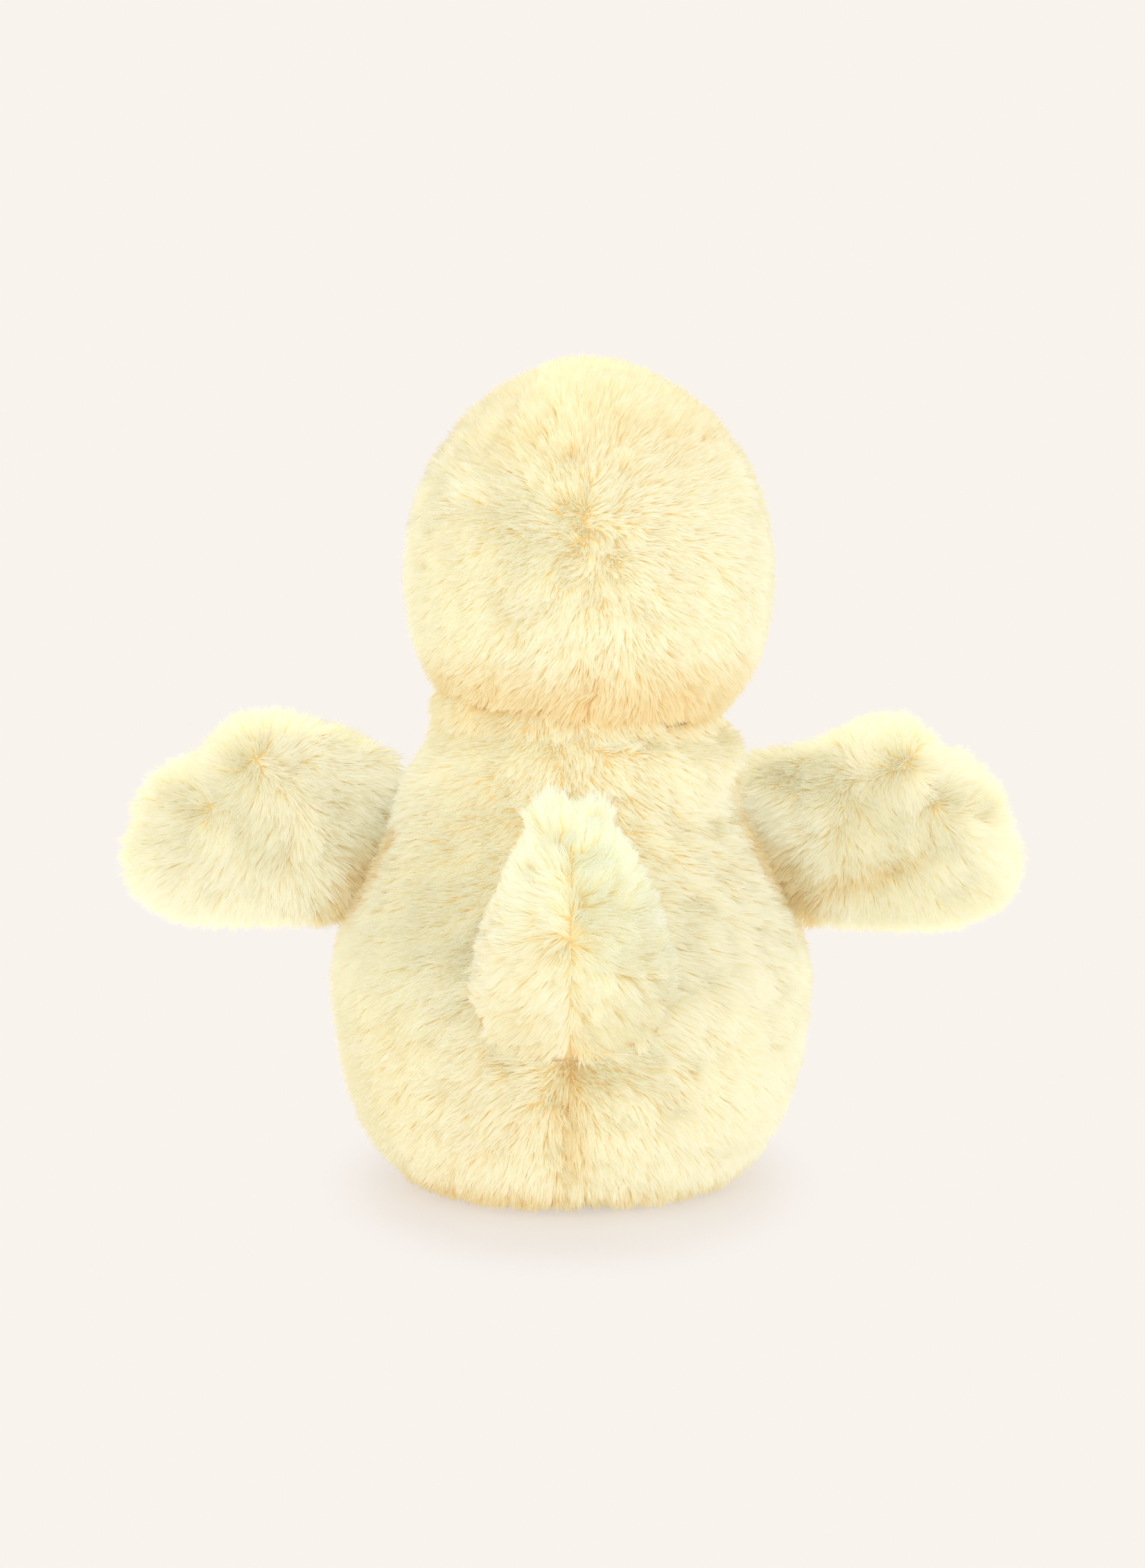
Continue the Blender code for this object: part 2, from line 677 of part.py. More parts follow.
def make_feet(felt, filling):
    """Both feet, and the groove that each root needs in the body."""
    grooves = {}
    for side in SIDE_SIGNS:
        ends = foot_axis(side)
        cheeks = root_cheeks(f"{side}_foot", ends, foot_root(side)[1], FOOT_ROOT_TAPER)
        root, groove = root_rods(f"{side}_foot", ends, FOOT_ROOT_RADIUS)
        outer = foot_form(f"{side}_foot_outer", side)
        hollow = foot_form(f"{side}_foot_hollow", side, FELT)
        core = foot_form(f"{side}_foot_core", side, FELT + GAP)
        height = foot_root(side)[0].z
        below = half_space(f"{side}_foot_sole_limit", "-z", height + GAP / 2)
        above = half_space(f"{side}_foot_top_limit", "+z", height - GAP / 2)
        top = piece(f"{side}_foot_top", outer, felt, hollow, below, *cheeks)
        join(top, root)
        piece(f"{side}_foot_sole", outer, felt, hollow, above, *cheeks, groove)
        piece(f"{side}_foot_stuffing", core, filling, groove)
        grooves[f"{side}_foot"] = groove
    return grooves


def main():
    for old in list(bpy.data.objects):
        bpy.data.objects.remove(old)
    bpy.context.scene.collection.children.link(toy)
    bpy.context.scene.collection.children.link(cutters)
    cutters.hide_render = True
    plush = material("cream_plush", (0.93, 0.85, 0.55), 0.95)
    filling = material("white_fibre", (0.92, 0.92, 0.90), 1.0)
    pouch_cloth = material("pouch_cloth", (0.75, 0.73, 0.68), 0.9)
    felt = material("orange_felt", (0.90, 0.50, 0.14), 0.9)
    black = material("eye_black", (0.01, 0.01, 0.012), 0.12)
    washer = material("washer_white", (0.85, 0.85, 0.83), 0.5)
    grooves = make_wings(plush, filling) | make_feet(felt, filling)
    make_body(plush, filling, pouch_cloth, grooves)
    make_tail(plush, filling, body_form("tail_seat", -GAP, BODY_SIDES))
    make_head(plush, filling, make_eyes(black, washer))
    make_bill(felt, filling)


main()
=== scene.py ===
import math

import bmesh
import bpy
import numpy as np
from mathutils import Matrix, Vector
from mathutils.bvhtree import BVHTree


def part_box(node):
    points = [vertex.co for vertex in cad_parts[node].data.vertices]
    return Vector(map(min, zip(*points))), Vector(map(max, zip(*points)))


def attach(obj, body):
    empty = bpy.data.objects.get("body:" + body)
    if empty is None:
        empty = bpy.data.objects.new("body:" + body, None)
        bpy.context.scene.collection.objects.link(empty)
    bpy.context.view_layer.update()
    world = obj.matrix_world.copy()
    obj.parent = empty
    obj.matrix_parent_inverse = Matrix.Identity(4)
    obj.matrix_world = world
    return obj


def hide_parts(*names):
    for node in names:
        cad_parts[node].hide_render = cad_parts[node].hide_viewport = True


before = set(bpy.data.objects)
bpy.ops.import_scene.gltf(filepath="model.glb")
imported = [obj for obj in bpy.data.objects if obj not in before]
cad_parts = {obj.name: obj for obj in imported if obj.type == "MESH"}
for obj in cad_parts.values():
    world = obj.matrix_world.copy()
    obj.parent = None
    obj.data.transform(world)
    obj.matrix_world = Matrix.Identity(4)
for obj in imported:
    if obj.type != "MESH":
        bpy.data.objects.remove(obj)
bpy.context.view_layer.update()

# Filling
# White polyester fibre fills every part, and a cotton pouch of pellets sits in the seat under it.
# Both are sewn in and never show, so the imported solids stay, with the finish of what they stand for.
FIBRE = ("#dedbd0", "#f1efe8")  # in its hollows and on its locks
POUCH_COTTON = ("#b3ac99", "#d9d4c4")  # between the yarns and on them
COTTON_YARN = 0.0007


def linear(code):
    """A colour code as the linear red, green and blue that shaders take."""
    parts = [int(code[at : at + 2], 16) / 255 for at in (1, 3, 5)]
    return tuple(c / 12.92 if c <= 0.04045 else ((c + 0.055) / 1.055) ** 2.4 for c in parts)


class Wire:
    """A node socket that takes part in Python sums: each operator adds its Math or Vector Math node."""

    def __init__(self, graph, socket):
        self.graph = graph
        self.socket = socket

    def __add__(self, other):
        return self.graph.combine("ADD", self, other)

    def __sub__(self, other):
        return self.graph.combine("SUBTRACT", self, other)

    def __rsub__(self, other):
        return self.graph.combine("SUBTRACT", other, self)

    def __mul__(self, other):
        return self.graph.combine("MULTIPLY", self, other)

    def __truediv__(self, other):
        return self.graph.combine("DIVIDE", self, other)

    def __rtruediv__(self, other):
        return self.graph.combine("DIVIDE", other, self)

    __radd__ = __add__
    __rmul__ = __mul__

    def other(self, name):
        """Another output of the node that this one comes from."""
        return Wire(self.graph, next(s for s in self.socket.node.outputs if s.name == name and s.enabled))


class Graph:
    """A node tree that is built by calls: node() adds any node, its settings first, then its inputs."""

    def __init__(self, tree):
        self.tree = tree

    def node(self, kind, settings=None, inputs=None):
        made = self.tree.nodes.new(kind)
        for name, value in (settings or {}).items():
            if name == "stops":
                self.set_stops(made.color_ramp.elements, value)
            else:
                setattr(made, name, value)
        for key, value in (inputs or {}).items():
            if isinstance(key, int):
                socket = made.inputs[key]
            else:
                socket = next(s for s in made.inputs if s.name == key and s.enabled)
            if isinstance(value, Wire):
                self.tree.links.new(value.socket, socket)
            elif socket.type == "RGBA" and len(value) == 3:
                socket.default_value = (*value, 1.0)
            else:
                socket.default_value = value
        shown = [s for s in made.outputs if s.enabled]
        return Wire(self, shown[0]) if shown else made

    def set_stops(self, elements, stops):
        while len(elements) < len(stops):
            elements.new(1.0)
        for element, (place, code) in zip(elements, stops):
            element.position = place
            element.color = (*linear(code), 1.0)

    def combine(self, operation, first, second):
        wide = [self.is_vector(value) for value in (first, second)]
        if operation == "MULTIPLY" and wide[0] != wide[1]:
            vector, factor = (first, second) if wide[0] else (second, first)
            inputs = {0: vector, "Scale": factor}
            return self.node("ShaderNodeVectorMath", {"operation": "SCALE"}, inputs)
        kind = "ShaderNodeVectorMath" if any(wide) else "ShaderNodeMath"
        return self.node(kind, {"operation": operation}, {0: first, 1: second})

    def is_vector(self, value):
        if isinstance(value, Wire):
            return value.socket.type in ("VECTOR", "RGBA")
        return isinstance(value, (tuple, Vector))

    def math(self, operation, *values, **settings):
        settings["operation"] = operation
        return self.node("ShaderNodeMath", settings, dict(enumerate(values)))

    def vector(self, operation, *values):
        return self.node("ShaderNodeVectorMath", {"operation": operation}, dict(enumerate(values)))

    def mix(self, factor, first, second, kind="RGBA"):
        inputs = {"Factor": factor, "A": first, "B": second}
        return self.node("ShaderNodeMix", {"data_type": kind, "clamp_factor": True}, inputs)


def finish_of(name, colour, roughness, **fixed):
    """A material whose Principled shader takes a colour or a colour's wire, and any fixed sockets."""
    made = bpy.data.materials.new(name)
    made.use_nodes = True
    graph = Graph(made.node_tree)
    shader = made.node_tree.nodes["Principled BSDF"]
    if callable(colour):
        colour = colour(graph)
    values = {"Base Color": colour, "Roughness": roughness}
    values.update({key.replace("_", " "): value for key, value in fixed.items()})
    for key, value in values.items():
        if callable(value):
            value = value(graph)
        if isinstance(value, Wire):
            made.node_tree.links.new(value.socket, shader.inputs[key])
        elif isinstance(value, tuple) and len(value) == 3 and shader.inputs[key].type == "RGBA":
            shader.inputs[key].default_value = (*value, 1.0)
        else:
            shader.inputs[key].default_value = value
    return made


def grain(graph, scale, detail):
    """Even noise over a piece, on the piece's own coordinates."""
    place = graph.node("ShaderNodeTexCoord").other("Object")
    return graph.node("ShaderNodeTexNoise", {}, {"Vector": place, "Scale": scale, "Detail": detail})


def mottled(colours, scale, detail):
    """A colour that wanders between two."""
    dark, light = (linear(code) for code in colours)
    return lambda graph: graph.mix(grain(graph, scale, detail), dark, light)


def rough(strength, depth, scale, detail):
    """A fine grain that stands up from the surface."""

    def bump(graph):
        inputs = {"Strength": strength, "Distance": depth, "Height": grain(graph, scale, detail)}
        return graph.node("ShaderNodeBump", {}, inputs)

    return bump


def cotton_weave(graph):
    """Plain weave: two sets of yarns, crossing over and under."""
    place = graph.node("ShaderNodeTexCoord").other("Object")
    apart = graph.node("ShaderNodeSeparateXYZ", {}, {0: place * (math.pi / COTTON_YARN)})
    warp = graph.math("ABSOLUTE", graph.math("SINE", apart + apart.other("Y")))
    weft = graph.math("ABSOLUTE", graph.math("SINE", apart.other("Z")))
    return graph.math("MAXIMUM", warp, weft)


def cotton_colour(graph):
    return graph.mix(cotton_weave(graph), *(linear(code) for code in POUCH_COTTON))


def cotton_bump(graph):
    height = cotton_weave(graph)
    return graph.node("ShaderNodeBump", {}, {"Strength": 0.5, "Distance": 0.0003, "Height": height})


fibre = finish_of("white_fibre", mottled(FIBRE, 260.0, 3.0), 0.95, Normal=rough(0.7, 0.001, 420.0, 4.0))
cotton = finish_of("pouch_cotton", cotton_colour, 0.9, Normal=cotton_bump)
for node_name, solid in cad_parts.items():
    if node_name.endswith("stuffing"):
        solid.material_slots[0].material = fibre
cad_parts["bean_pouch"].material_slots[0].material = cotton

# Back, belly and seat
# Four panels of long-piled fur fabric, sewn edge to edge: a left and a right back that meet in the seam
# down the spine, a belly whose side seams lie under the wings, and a round seat that is sat flat.
BACKING = ("#ebca8e", "#f4dca8")
BACKING_THICKNESS = 0.0011
PILE_DEPTH = 0.0024  # of the backing below the laid pile's surface
BODY_VOXEL = 0.0020
PILE_LENGTH = 0.0046
STRAND_WIDTH = 0.00042
STRANDS = 5.9e6  # to a square metre
BELLY_STRANDS = STRANDS * 0.66
TUFT_SPACING = 0.0016
SEAT_PILE_DEPTH = 0.0014
SEAT_EDGE = 0.020  # height at which the seat's shorter pile has given way to the sides'
PRESSURE = 14.0  # of the filling on the cloth
BODY_SWELL = 0.0010
SEAM_REACH = 0.003  # how far to each side a seam holds the cloth
SEAT_HELD = (0.008, 0.012)  # heights between which the seat lets go of the cloth
DISH_HELD = (0.002, 0.006)  # distances from the head's ball between which the neck lets go of it
DISH_OVERLAP = 0.0004  # of the head's backing and the body's
BEHIND = (0.0, 0.012)  # depths between which the side turns into the back
LUMP_DEPTH, LUMP_SIZE = 0.0003, 0.030
HEM_HEIGHT, HEM_REACH, HEM_TUCK = 0.004, 0.008, 0.0020  # the edge over the seat, which is drawn in
SPINE_PULL = 0.0003  # how deep the spine seam draws the backing in
SPINE_TOP, SPINE_FADE = 0.050, 0.01  # where the seam comes out from under the tail
SPINE_BOTTOM = (0.006, 0.014)
SPINE_PARTING = 0.0028
SHOULDER, SHOULDER_SLOPE = 0.0985, 0.30
COLLAR_SHIFT = 0.0026  # the neck leans with the head
COLLAR_LEAN = (0.080, 0.097)
COLLAR_START = (0.0005, 0.0040)  # distances from the head's ball
NECK_LEAN = (0.0, 0.005)
COLLAR_ROLL, COLLAR_REACH = 0.0012, 0.0050
COLLAR_FOLD, FOLD_PULL, FOLD_REACH = 0.0090, 0.0007, 0.0030
COLLAR_EDGE = (0.002, 0.006)  # heights above the shoulder
# The arc under the collar is paler: a painted highlight on the shoulder's bulge.
ARC_DROP, ARC_REACH = 0.004, 0.008  # of the pale arc under the collar
CREASES = (
    ((0.0372, 0.0780), (0.0406, 0.0716), (0.0438, 0.0656), (0.0464, 0.0607)),
    ((-0.0322, 0.0888), (-0.0362, 0.0800), (-0.0447, 0.0635)),
)
CREASE_DEPTH, CREASE_REACH = 0.0010, 0.0027
TAIL_HEIGHT = 0.049
TAIL_ROOT = (0.017, 0.0090)  # half the width and height that the tail's root takes of the back
NEAR_TAIL = (1.6, 3.4)  # in tail roots from its middle
TAIL_FLANKS = (0.036, 0.050)
BELOW_TAIL, BELOW_TAIL_HEIGHT = (0.022, 0.011), 0.035  # half the width and height of the swirl there
NEAR_WINGS = (0.0045, 0.0100)
ARMPIT = (0.070, 0.086)
SEAT_NAP = (0.0018, 0.0030)
# Heights of the painted shade along the bottom edge and low down, and of the painted light and shade on the
# flanks.
HEM_SHADE, LOW_SHADE, FLANK_SHADE = (0.003, 0.010), (0.008, 0.030), (0.042, 0.055)
FLANK_TURN, NECK_SHADE = 0.010, 0.003
PILE_LUMPS, TONE_LUMPS = 0.02, 0.015
NAP_DOWN = 0.9
NAP_TURN = 0.015  # how far from the seam it has turned aside
NAP_APART, NAP_APART_HIGH, APART_RISE, BELLY_APART = 0.3, 0.4, (0.004, 0.018), 0.35
FROM_TAIL, FROM_TAIL_REACH = 1.1, 0.026
SWIRL_TURN, SWIRL_APART, SWIRL_UP = 0.004, 0.9, 0.35
SEAT_FLOW = 40.0  # outwards, to a metre from the middle
SPINE_LIE, SWIRL_LIE = 0.65, 0.4  # how much less the nap lies there
# Cover is how much of the pile grows, pile how long it is, and tone how pale, from 0 to 1.
BODY_COVER = {"spine": 0.4, "around_tail": 0.2, "seat": -0.6}
BODY_PILE = {"spine": -0.15, "seat": -0.6, "lumps": 0.05, "collar": -0.08}
BODY_PILE |= {"around_tail": 0.25, "crease": -0.3, "below_tail": 0.45}
WING_ROOT_PILE = {"plain": 1.0, "wings": 0.12, "armpit": -0.25}
# Tone carries painted shade at the collar, the neck, the creases, the armpits, low down and along the bottom
# edge, and painted light beside the tail, along the shoulder's arc and on the flanks.
BODY_TONE = {"plain": 0.70, "spine": -0.34, "collar": -0.12, "neck": -0.10, "around_tail": 0.20}
BODY_TONE |= {"lumps": 0.03, "armpit": -0.16, "crease": -0.60, "arc": 0.18}
BODY_TONE |= {"low": -0.06, "hem": -0.40, "right_flank": 0.08}


def merged_copy(*node_names):
    """One mesh of copies of CAD nodes, each merged into a closed surface."""
    whole = bmesh.new()
    for node_name in node_names:
        part = bmesh.new()
        part.from_mesh(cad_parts[node_name].data)
        bmesh.ops.remove_doubles(part, verts=part.verts, dist=1e-6)
        mesh = bpy.data.meshes.new(node_name)
        part.to_mesh(mesh)
        part.free()
        whole.from_mesh(mesh)
        bpy.data.meshes.remove(mesh)
    made = bpy.data.meshes.new("merged")
    whole.to_mesh(made)
    whole.free()
    return made


def shown(name, mesh):
    """A new object at the origin for a mesh."""
    made = bpy.data.objects.new(name, mesh)
    bpy.context.scene.collection.objects.link(made)
    return made


def taken(holder):
    """The evaluated mesh of an object, which is then removed."""
    graph = bpy.context.evaluated_depsgraph_get()
    evaluated = holder.evaluated_get(graph)
    made = bpy.data.meshes.new_from_object(evaluated, preserve_all_data_layers=True, depsgraph=graph)
    bpy.data.objects.remove(holder)
    return made


def with_modifiers(mesh, *modifiers):
    """The mesh after some modifiers, each given as (type, its settings)."""
    holder = shown("holder", mesh)
    for kind, settings in modifiers:
        modifier = holder.modifiers.new(kind.lower(), kind)
        for name, value in settings.items():
            setattr(modifier, name, value)
    return taken(holder)


def coordinates(mesh, values=None):
    """Reads or writes a mesh's vertices as rows of x, y, z."""
    if values is not None:
        mesh.vertices.foreach_set("co", values.astype(np.float32).ravel())
        mesh.update()
        return values
    rows = np.empty(len(mesh.vertices) * 3, np.float32)
    mesh.vertices.foreach_get("co", rows)
    return rows.reshape(-1, 3).astype(float)


def normals(mesh):
    mesh.update()
    rows = np.empty(len(mesh.vertices) * 3, np.float32)
    mesh.vertex_normals.foreach_get("vector", rows)
    return rows.reshape(-1, 3).astype(float)


def spread(mesh, values, rounds):
    """A value at each vertex, averaged with its neighbours for some rounds."""
    edges = np.empty(len(mesh.edges) * 2, np.int32)
    mesh.edges.foreach_get("vertices", edges)
    a, b = edges.reshape(-1, 2).T
    count = np.bincount(edges, minlength=len(values)).astype(float)
    for _ in range(rounds):
        total = np.bincount(a, values[b], len(values)) + np.bincount(b, values[a], len(values))
        values = 0.5 * values + 0.5 * total / count
    return values


def kept_where(mesh, keep):
    """Deletes the vertices for which keep(co) is false."""
    cut = bmesh.new()
    cut.from_mesh(mesh)
    bmesh.ops.delete(cut, geom=[v for v in cut.verts if not keep(v.co)], context="VERTS")
    cut.to_mesh(mesh)
    cut.free()


def largest_island(mesh):
    """Deletes all but the tallest of a mesh's separate shells."""
    whole = bmesh.new()
    whole.from_mesh(mesh)
    left, islands = set(whole.verts), []
    while left:
        island, edge = set(), [next(iter(left))]
        while edge:
            vert = edge.pop()
            if vert not in island:
                island.add(vert)
                edge.extend(e.other_vert(vert) for e in vert.link_edges)
        left -= island
        islands.append(island)
    largest = max(islands, key=lambda found: max(v.co.z for v in found) - min(v.co.z for v in found))
    bmesh.ops.delete(whole, geom=[v for v in whole.verts if v not in largest], context="VERTS")
    whole.to_mesh(mesh)
    whole.free()


def stuffed_form(voxel, *node_names, plug=None, rounds=10):
    """A closed, smooth surface round some CAD nodes and what fills them, and a ball that fills a socket."""
    solids = merged_copy(*node_names)
    if plug:
        whole = bmesh.new()
        whole.from_mesh(solids)
        place = Matrix.Translation(plug[0])
        bmesh.ops.create_uvsphere(whole, u_segments=48, v_segments=32, radius=plug[1], matrix=place)
        whole.to_mesh(solids)
        whole.free()
    remesh = ("REMESH", {"mode": "VOXEL", "voxel_size": voxel})
    smooth = ("SMOOTH", {"factor": 0.5, "iterations": rounds})
    mesh = with_modifiers(solids, remesh, smooth)
    largest_island(mesh)
    return mesh


def tree_of(mesh):
    """A mesh's surface, for finding the nearest spot and for casting rays."""
    return BVHTree.FromPolygons([v.co for v in mesh.vertices], [p.vertices for p in mesh.polygons])


def sunk_backing(mesh, depth, share=0.30):
    """Moves a form's surface in to where the pile's backing lies, by less where the form is thin."""
    tree = tree_of(mesh)
    points, facing = coordinates(mesh), normals(mesh)
    sink = np.full(len(points), depth)
    for at, (point, normal) in enumerate(zip(points, facing)):
        hit = tree.ray_cast(Vector(point - normal * depth / 40), Vector(-normal), depth / share)
        if hit[0] is not None:
            sink[at] = hit[3] * share
    coordinates(mesh, points - facing * spread(mesh, sink, 6)[:, None])


def stuffed_by_cloth(mesh, held, cap, pressure):
    """Blows a form up from inside as filling does, held at its seams, and no point goes beyond the cap."""
    before = coordinates(mesh)
    holder = shown("holder", mesh.copy())
    group = holder.vertex_groups.new(name="seams")
    for at, share in enumerate(held):
        if share > 0.02:
            group.add([at], float(min(share, 1.0)), "REPLACE")
    cloth = holder.modifiers.new("cloth", "CLOTH")
    cloth.settings.use_pressure = True
    cloth.settings.uniform_pressure_force = pressure
    cloth.settings.effector_weights.gravity = 0.0
    cloth.settings.mass = 0.0015
    cloth.settings.vertex_group_mass = "seams"
    cloth.collision_settings.use_collision = False
    for now in range(1, 21):
        bpy.context.scene.frame_set(now)
    step = coordinates(taken(holder)) - before
    bpy.context.scene.frame_set(1)
    length = np.linalg.norm(step, axis=1, keepdims=True)
    coordinates(mesh, before + step * np.minimum(1.0, cap / np.maximum(length, 1e-9)))


def distance_to(points, *node_names):
    """How far each point lies from the surface of some CAD nodes."""
    tree = tree_of(merged_copy(*node_names))
    return np.array([tree.find_nearest(Vector(point))[3] for point in points])


def over_filling(points, node_name, margin):
    """Moves what lies under the surface of a part's filling out onto it, as the filling holds its skin."""
    tree = tree_of(merged_copy(node_name))
    held = points.copy()
    for at, point in enumerate(points):
        spot, normal = tree.find_nearest(Vector(point))[:2]
        gap = Vector(point) - spot
        if gap.dot(normal) < 0 or gap.length < margin:
            held[at] = spot + normal * margin
    return held


def distance_to_path(points, path):
    """How far each point lies from a path, seen from behind."""
    flat = points[:, (0, 2)]
    nearest = np.full(len(flat), np.inf)
    for start, end in zip(np.array(path), np.array(path)[1:]):
        share = np.clip((flat - start) @ (end - start) / ((end - start) @ (end - start)), 0, 1)
        nearest = np.minimum(nearest, np.linalg.norm(flat - start - share[:, None] * (end - start), axis=1))
    return nearest


def seam_between(axis, low_node, high_node):
    """The place along an axis where two neighbouring panels meet."""
    return (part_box(low_node)[1][axis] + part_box(high_node)[0][axis]) / 2


def panel(name, mesh, *planes):
    """The part of a closed form on the inner side of some seams, each given as (axis, side, place)."""
    cut = bmesh.new()
    cut.from_mesh(mesh)
    for axis, side, place in planes:
        point, normal = Vector(), Vector()
        point[axis], normal[axis] = place, side
        geometry = cut.verts[:] + cut.edges[:] + cut.faces[:]
        settings = {"dist": 1e-7, "plane_co": point, "plane_no": normal, "clear_inner": True}
        bmesh.ops.bisect_plane(cut, geom=geometry, **settings)
    made = bpy.data.meshes.new(name)
    cut.to_mesh(made)
    cut.free()
    return made


def unit(rows):
    return rows / np.maximum(np.linalg.norm(rows, axis=-1, keepdims=True), 1e-9)


def bell(distance, reach):
    """1 at no distance, falling to 0 a little beyond the reach."""
    return np.exp(-((distance / reach) ** 2))


def ramp(values, low, high):
    """0 below low, 1 above high, and a smooth rise between."""
    share = np.clip((values - low) / (high - low), 0, 1)
    return share * share * (3 - 2 * share)


def under(values, low, high):
    """1 below low, 0 above high, and a smooth fall between."""
    return ramp(-values, -high, -low)


def lumps(points, size, seed):
    """Gentle hollows and swellings of a size, from about -1 to 1, as filling by hand leaves."""
    chance = np.random.default_rng(seed)
    waves = unit(chance.normal(size=(9, 3))) * math.tau / size
    return np.cos(points @ waves.T + chance.uniform(0, math.tau, 9)).mean(axis=1) * 1.6


def weighed(shares, **fields):
    """A value at each vertex: the plain share, and each other share as far as its field goes."""
    return shares["plain"] + sum(shares[name] * field for name, field in fields.items())


def scaled(shares, **fields):
    """A factor at each vertex, which each share raises or lowers as far as its field goes."""
    return math.prod(1 + shares[name] * field for name, field in fields.items())


def flow(along_x, along_y, along_z):
    """A direction at each vertex, whose parts are rows or plain numbers."""
    return np.stack(np.broadcast_arrays(along_x, along_y, along_z), axis=1).astype(float)


def blended(first, second, share):
    """Directions that turn from the first to the second as far as the share goes."""
    return first * (1 - share)[:, None] + second * share[:, None]


def comb(mesh, wind, cover, pile, tone, lie=1.0):
    """Stores how the nap lies, how much of it grows, how long it is and how pale, at each vertex."""
    facing = normals(mesh)
    along = unit(wind - facing * (wind * facing).sum(1)[:, None])
    wind = along * np.broadcast_to(lie, len(facing))[:, None]
    for name, values in (("comb", wind), ("cover", cover), ("pile", pile), ("tone", tone)):
        kind, field = ("FLOAT_VECTOR", "vector") if values.ndim == 2 else ("FLOAT", "value")
        stored = mesh.attributes.new(name, kind, "POINT")
        stored.data.foreach_set(field, values.astype(np.float32).ravel())


knit = rough(0.5, 0.0004, 1500.0, 2.0)
backing = finish_of("knitted_backing", mottled(BACKING, 900.0, 2.0), 0.95, Normal=knit)


def sew_panel(name, mesh, body, node_name, finish=backing, thickness=BACKING_THICKNESS):
    """Gives a panel its cloth's thickness and lets it stand for its CAD node."""
    cloth = with_modifiers(mesh.copy(), ("SOLIDIFY", {"thickness": thickness, "offset": -1.0}))
    for stored in ("comb", "cover", "pile", "tone"):
        cloth.attributes.remove(cloth.attributes[stored])
    cloth.materials.clear()
    cloth.materials.append(finish)
    cloth.shade_smooth()
    piece = shown(name, cloth)
    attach(piece, body)
    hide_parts(node_name)
    return piece


TUFT_LENGTHS, STRAND_LENGTHS, STRAND_WIDTHS = (0.92, 1.08), (0.74, 1.0), (0.7, 1.25)  # by chance
TUFT_GAP, TUFTS_TRIED = 0.75, 1.6  # of the spacing, and to a square of it
TUFT_CENTRE, TUFT_EDGE = 1.05, 0.30  # length at a tuft's middle, and what it loses out to its edge
TUFT_SHRINK = 0.50
STRAND_TONE, TUFT_TONE = 0.10, 0.07
DRIFT_SCALE, DRIFT = 170.0, 4.0
RING_LIGHT = 0.15  # how far a strand's own roundness turns its light
CHART_COLUMNS = 96
LOWEST = 0.0002  # above the floor


def strand_mesh():
    """One strand of pile: a closed spike of three sides, which the tree stands up between root and tip."""
    made = bmesh.new()
    along, across, turn = (made.verts.layers.float.new(name) for name in ("along", "across", "turn"))
    foot = []
    for step in range(3):
        vert = made.verts.new((math.cos(math.tau * step / 3), math.sin(math.tau * step / 3), 0.0))
        vert[across], vert[turn] = step / 2, math.tau * step / 3
        foot.append(vert)
    foot[1][along] = 0.03
    tip = made.verts.new((0.0, 0.0, 1.0))
    tip[along], tip[across] = 1.0, 0.25
    for step in range(3):
        made.faces.new((foot[step], foot[(step + 1) % 3], tip))
    made.faces.new(reversed(foot))
    mesh = bpy.data.meshes.new("strand")
    made.to_mesh(mesh)
    made.free()
    return mesh


def new_tree(name, sockets, output):
    """The graph of a new node tree, and a wire from each of its named inputs."""
    tree = bpy.data.node_groups.new(name, "GeometryNodeTree")
    for socket, kind in sockets.items():
        tree.interface.new_socket(socket, in_out="INPUT", socket_type=f"NodeSocket{kind}")
    tree.interface.new_socket(output, in_out="OUTPUT", socket_type="NodeSocketGeometry")
    graph = Graph(tree)
    given = graph.node("NodeGroupInput")
    return graph, [given.other(socket) for socket in sockets]


def with_nodes(mesh, tree, values):
    """What a node tree makes of a mesh, with its inputs set by name."""
    holder = shown("holder", mesh)
    made = holder.modifiers.new("nodes", "NODES")
    made.node_group = tree
    for item in tree.interface.items_tree:
        if item.in_out == "INPUT" and item.name in values:
            made[item.identifier] = values[item.name]
    return taken(holder)


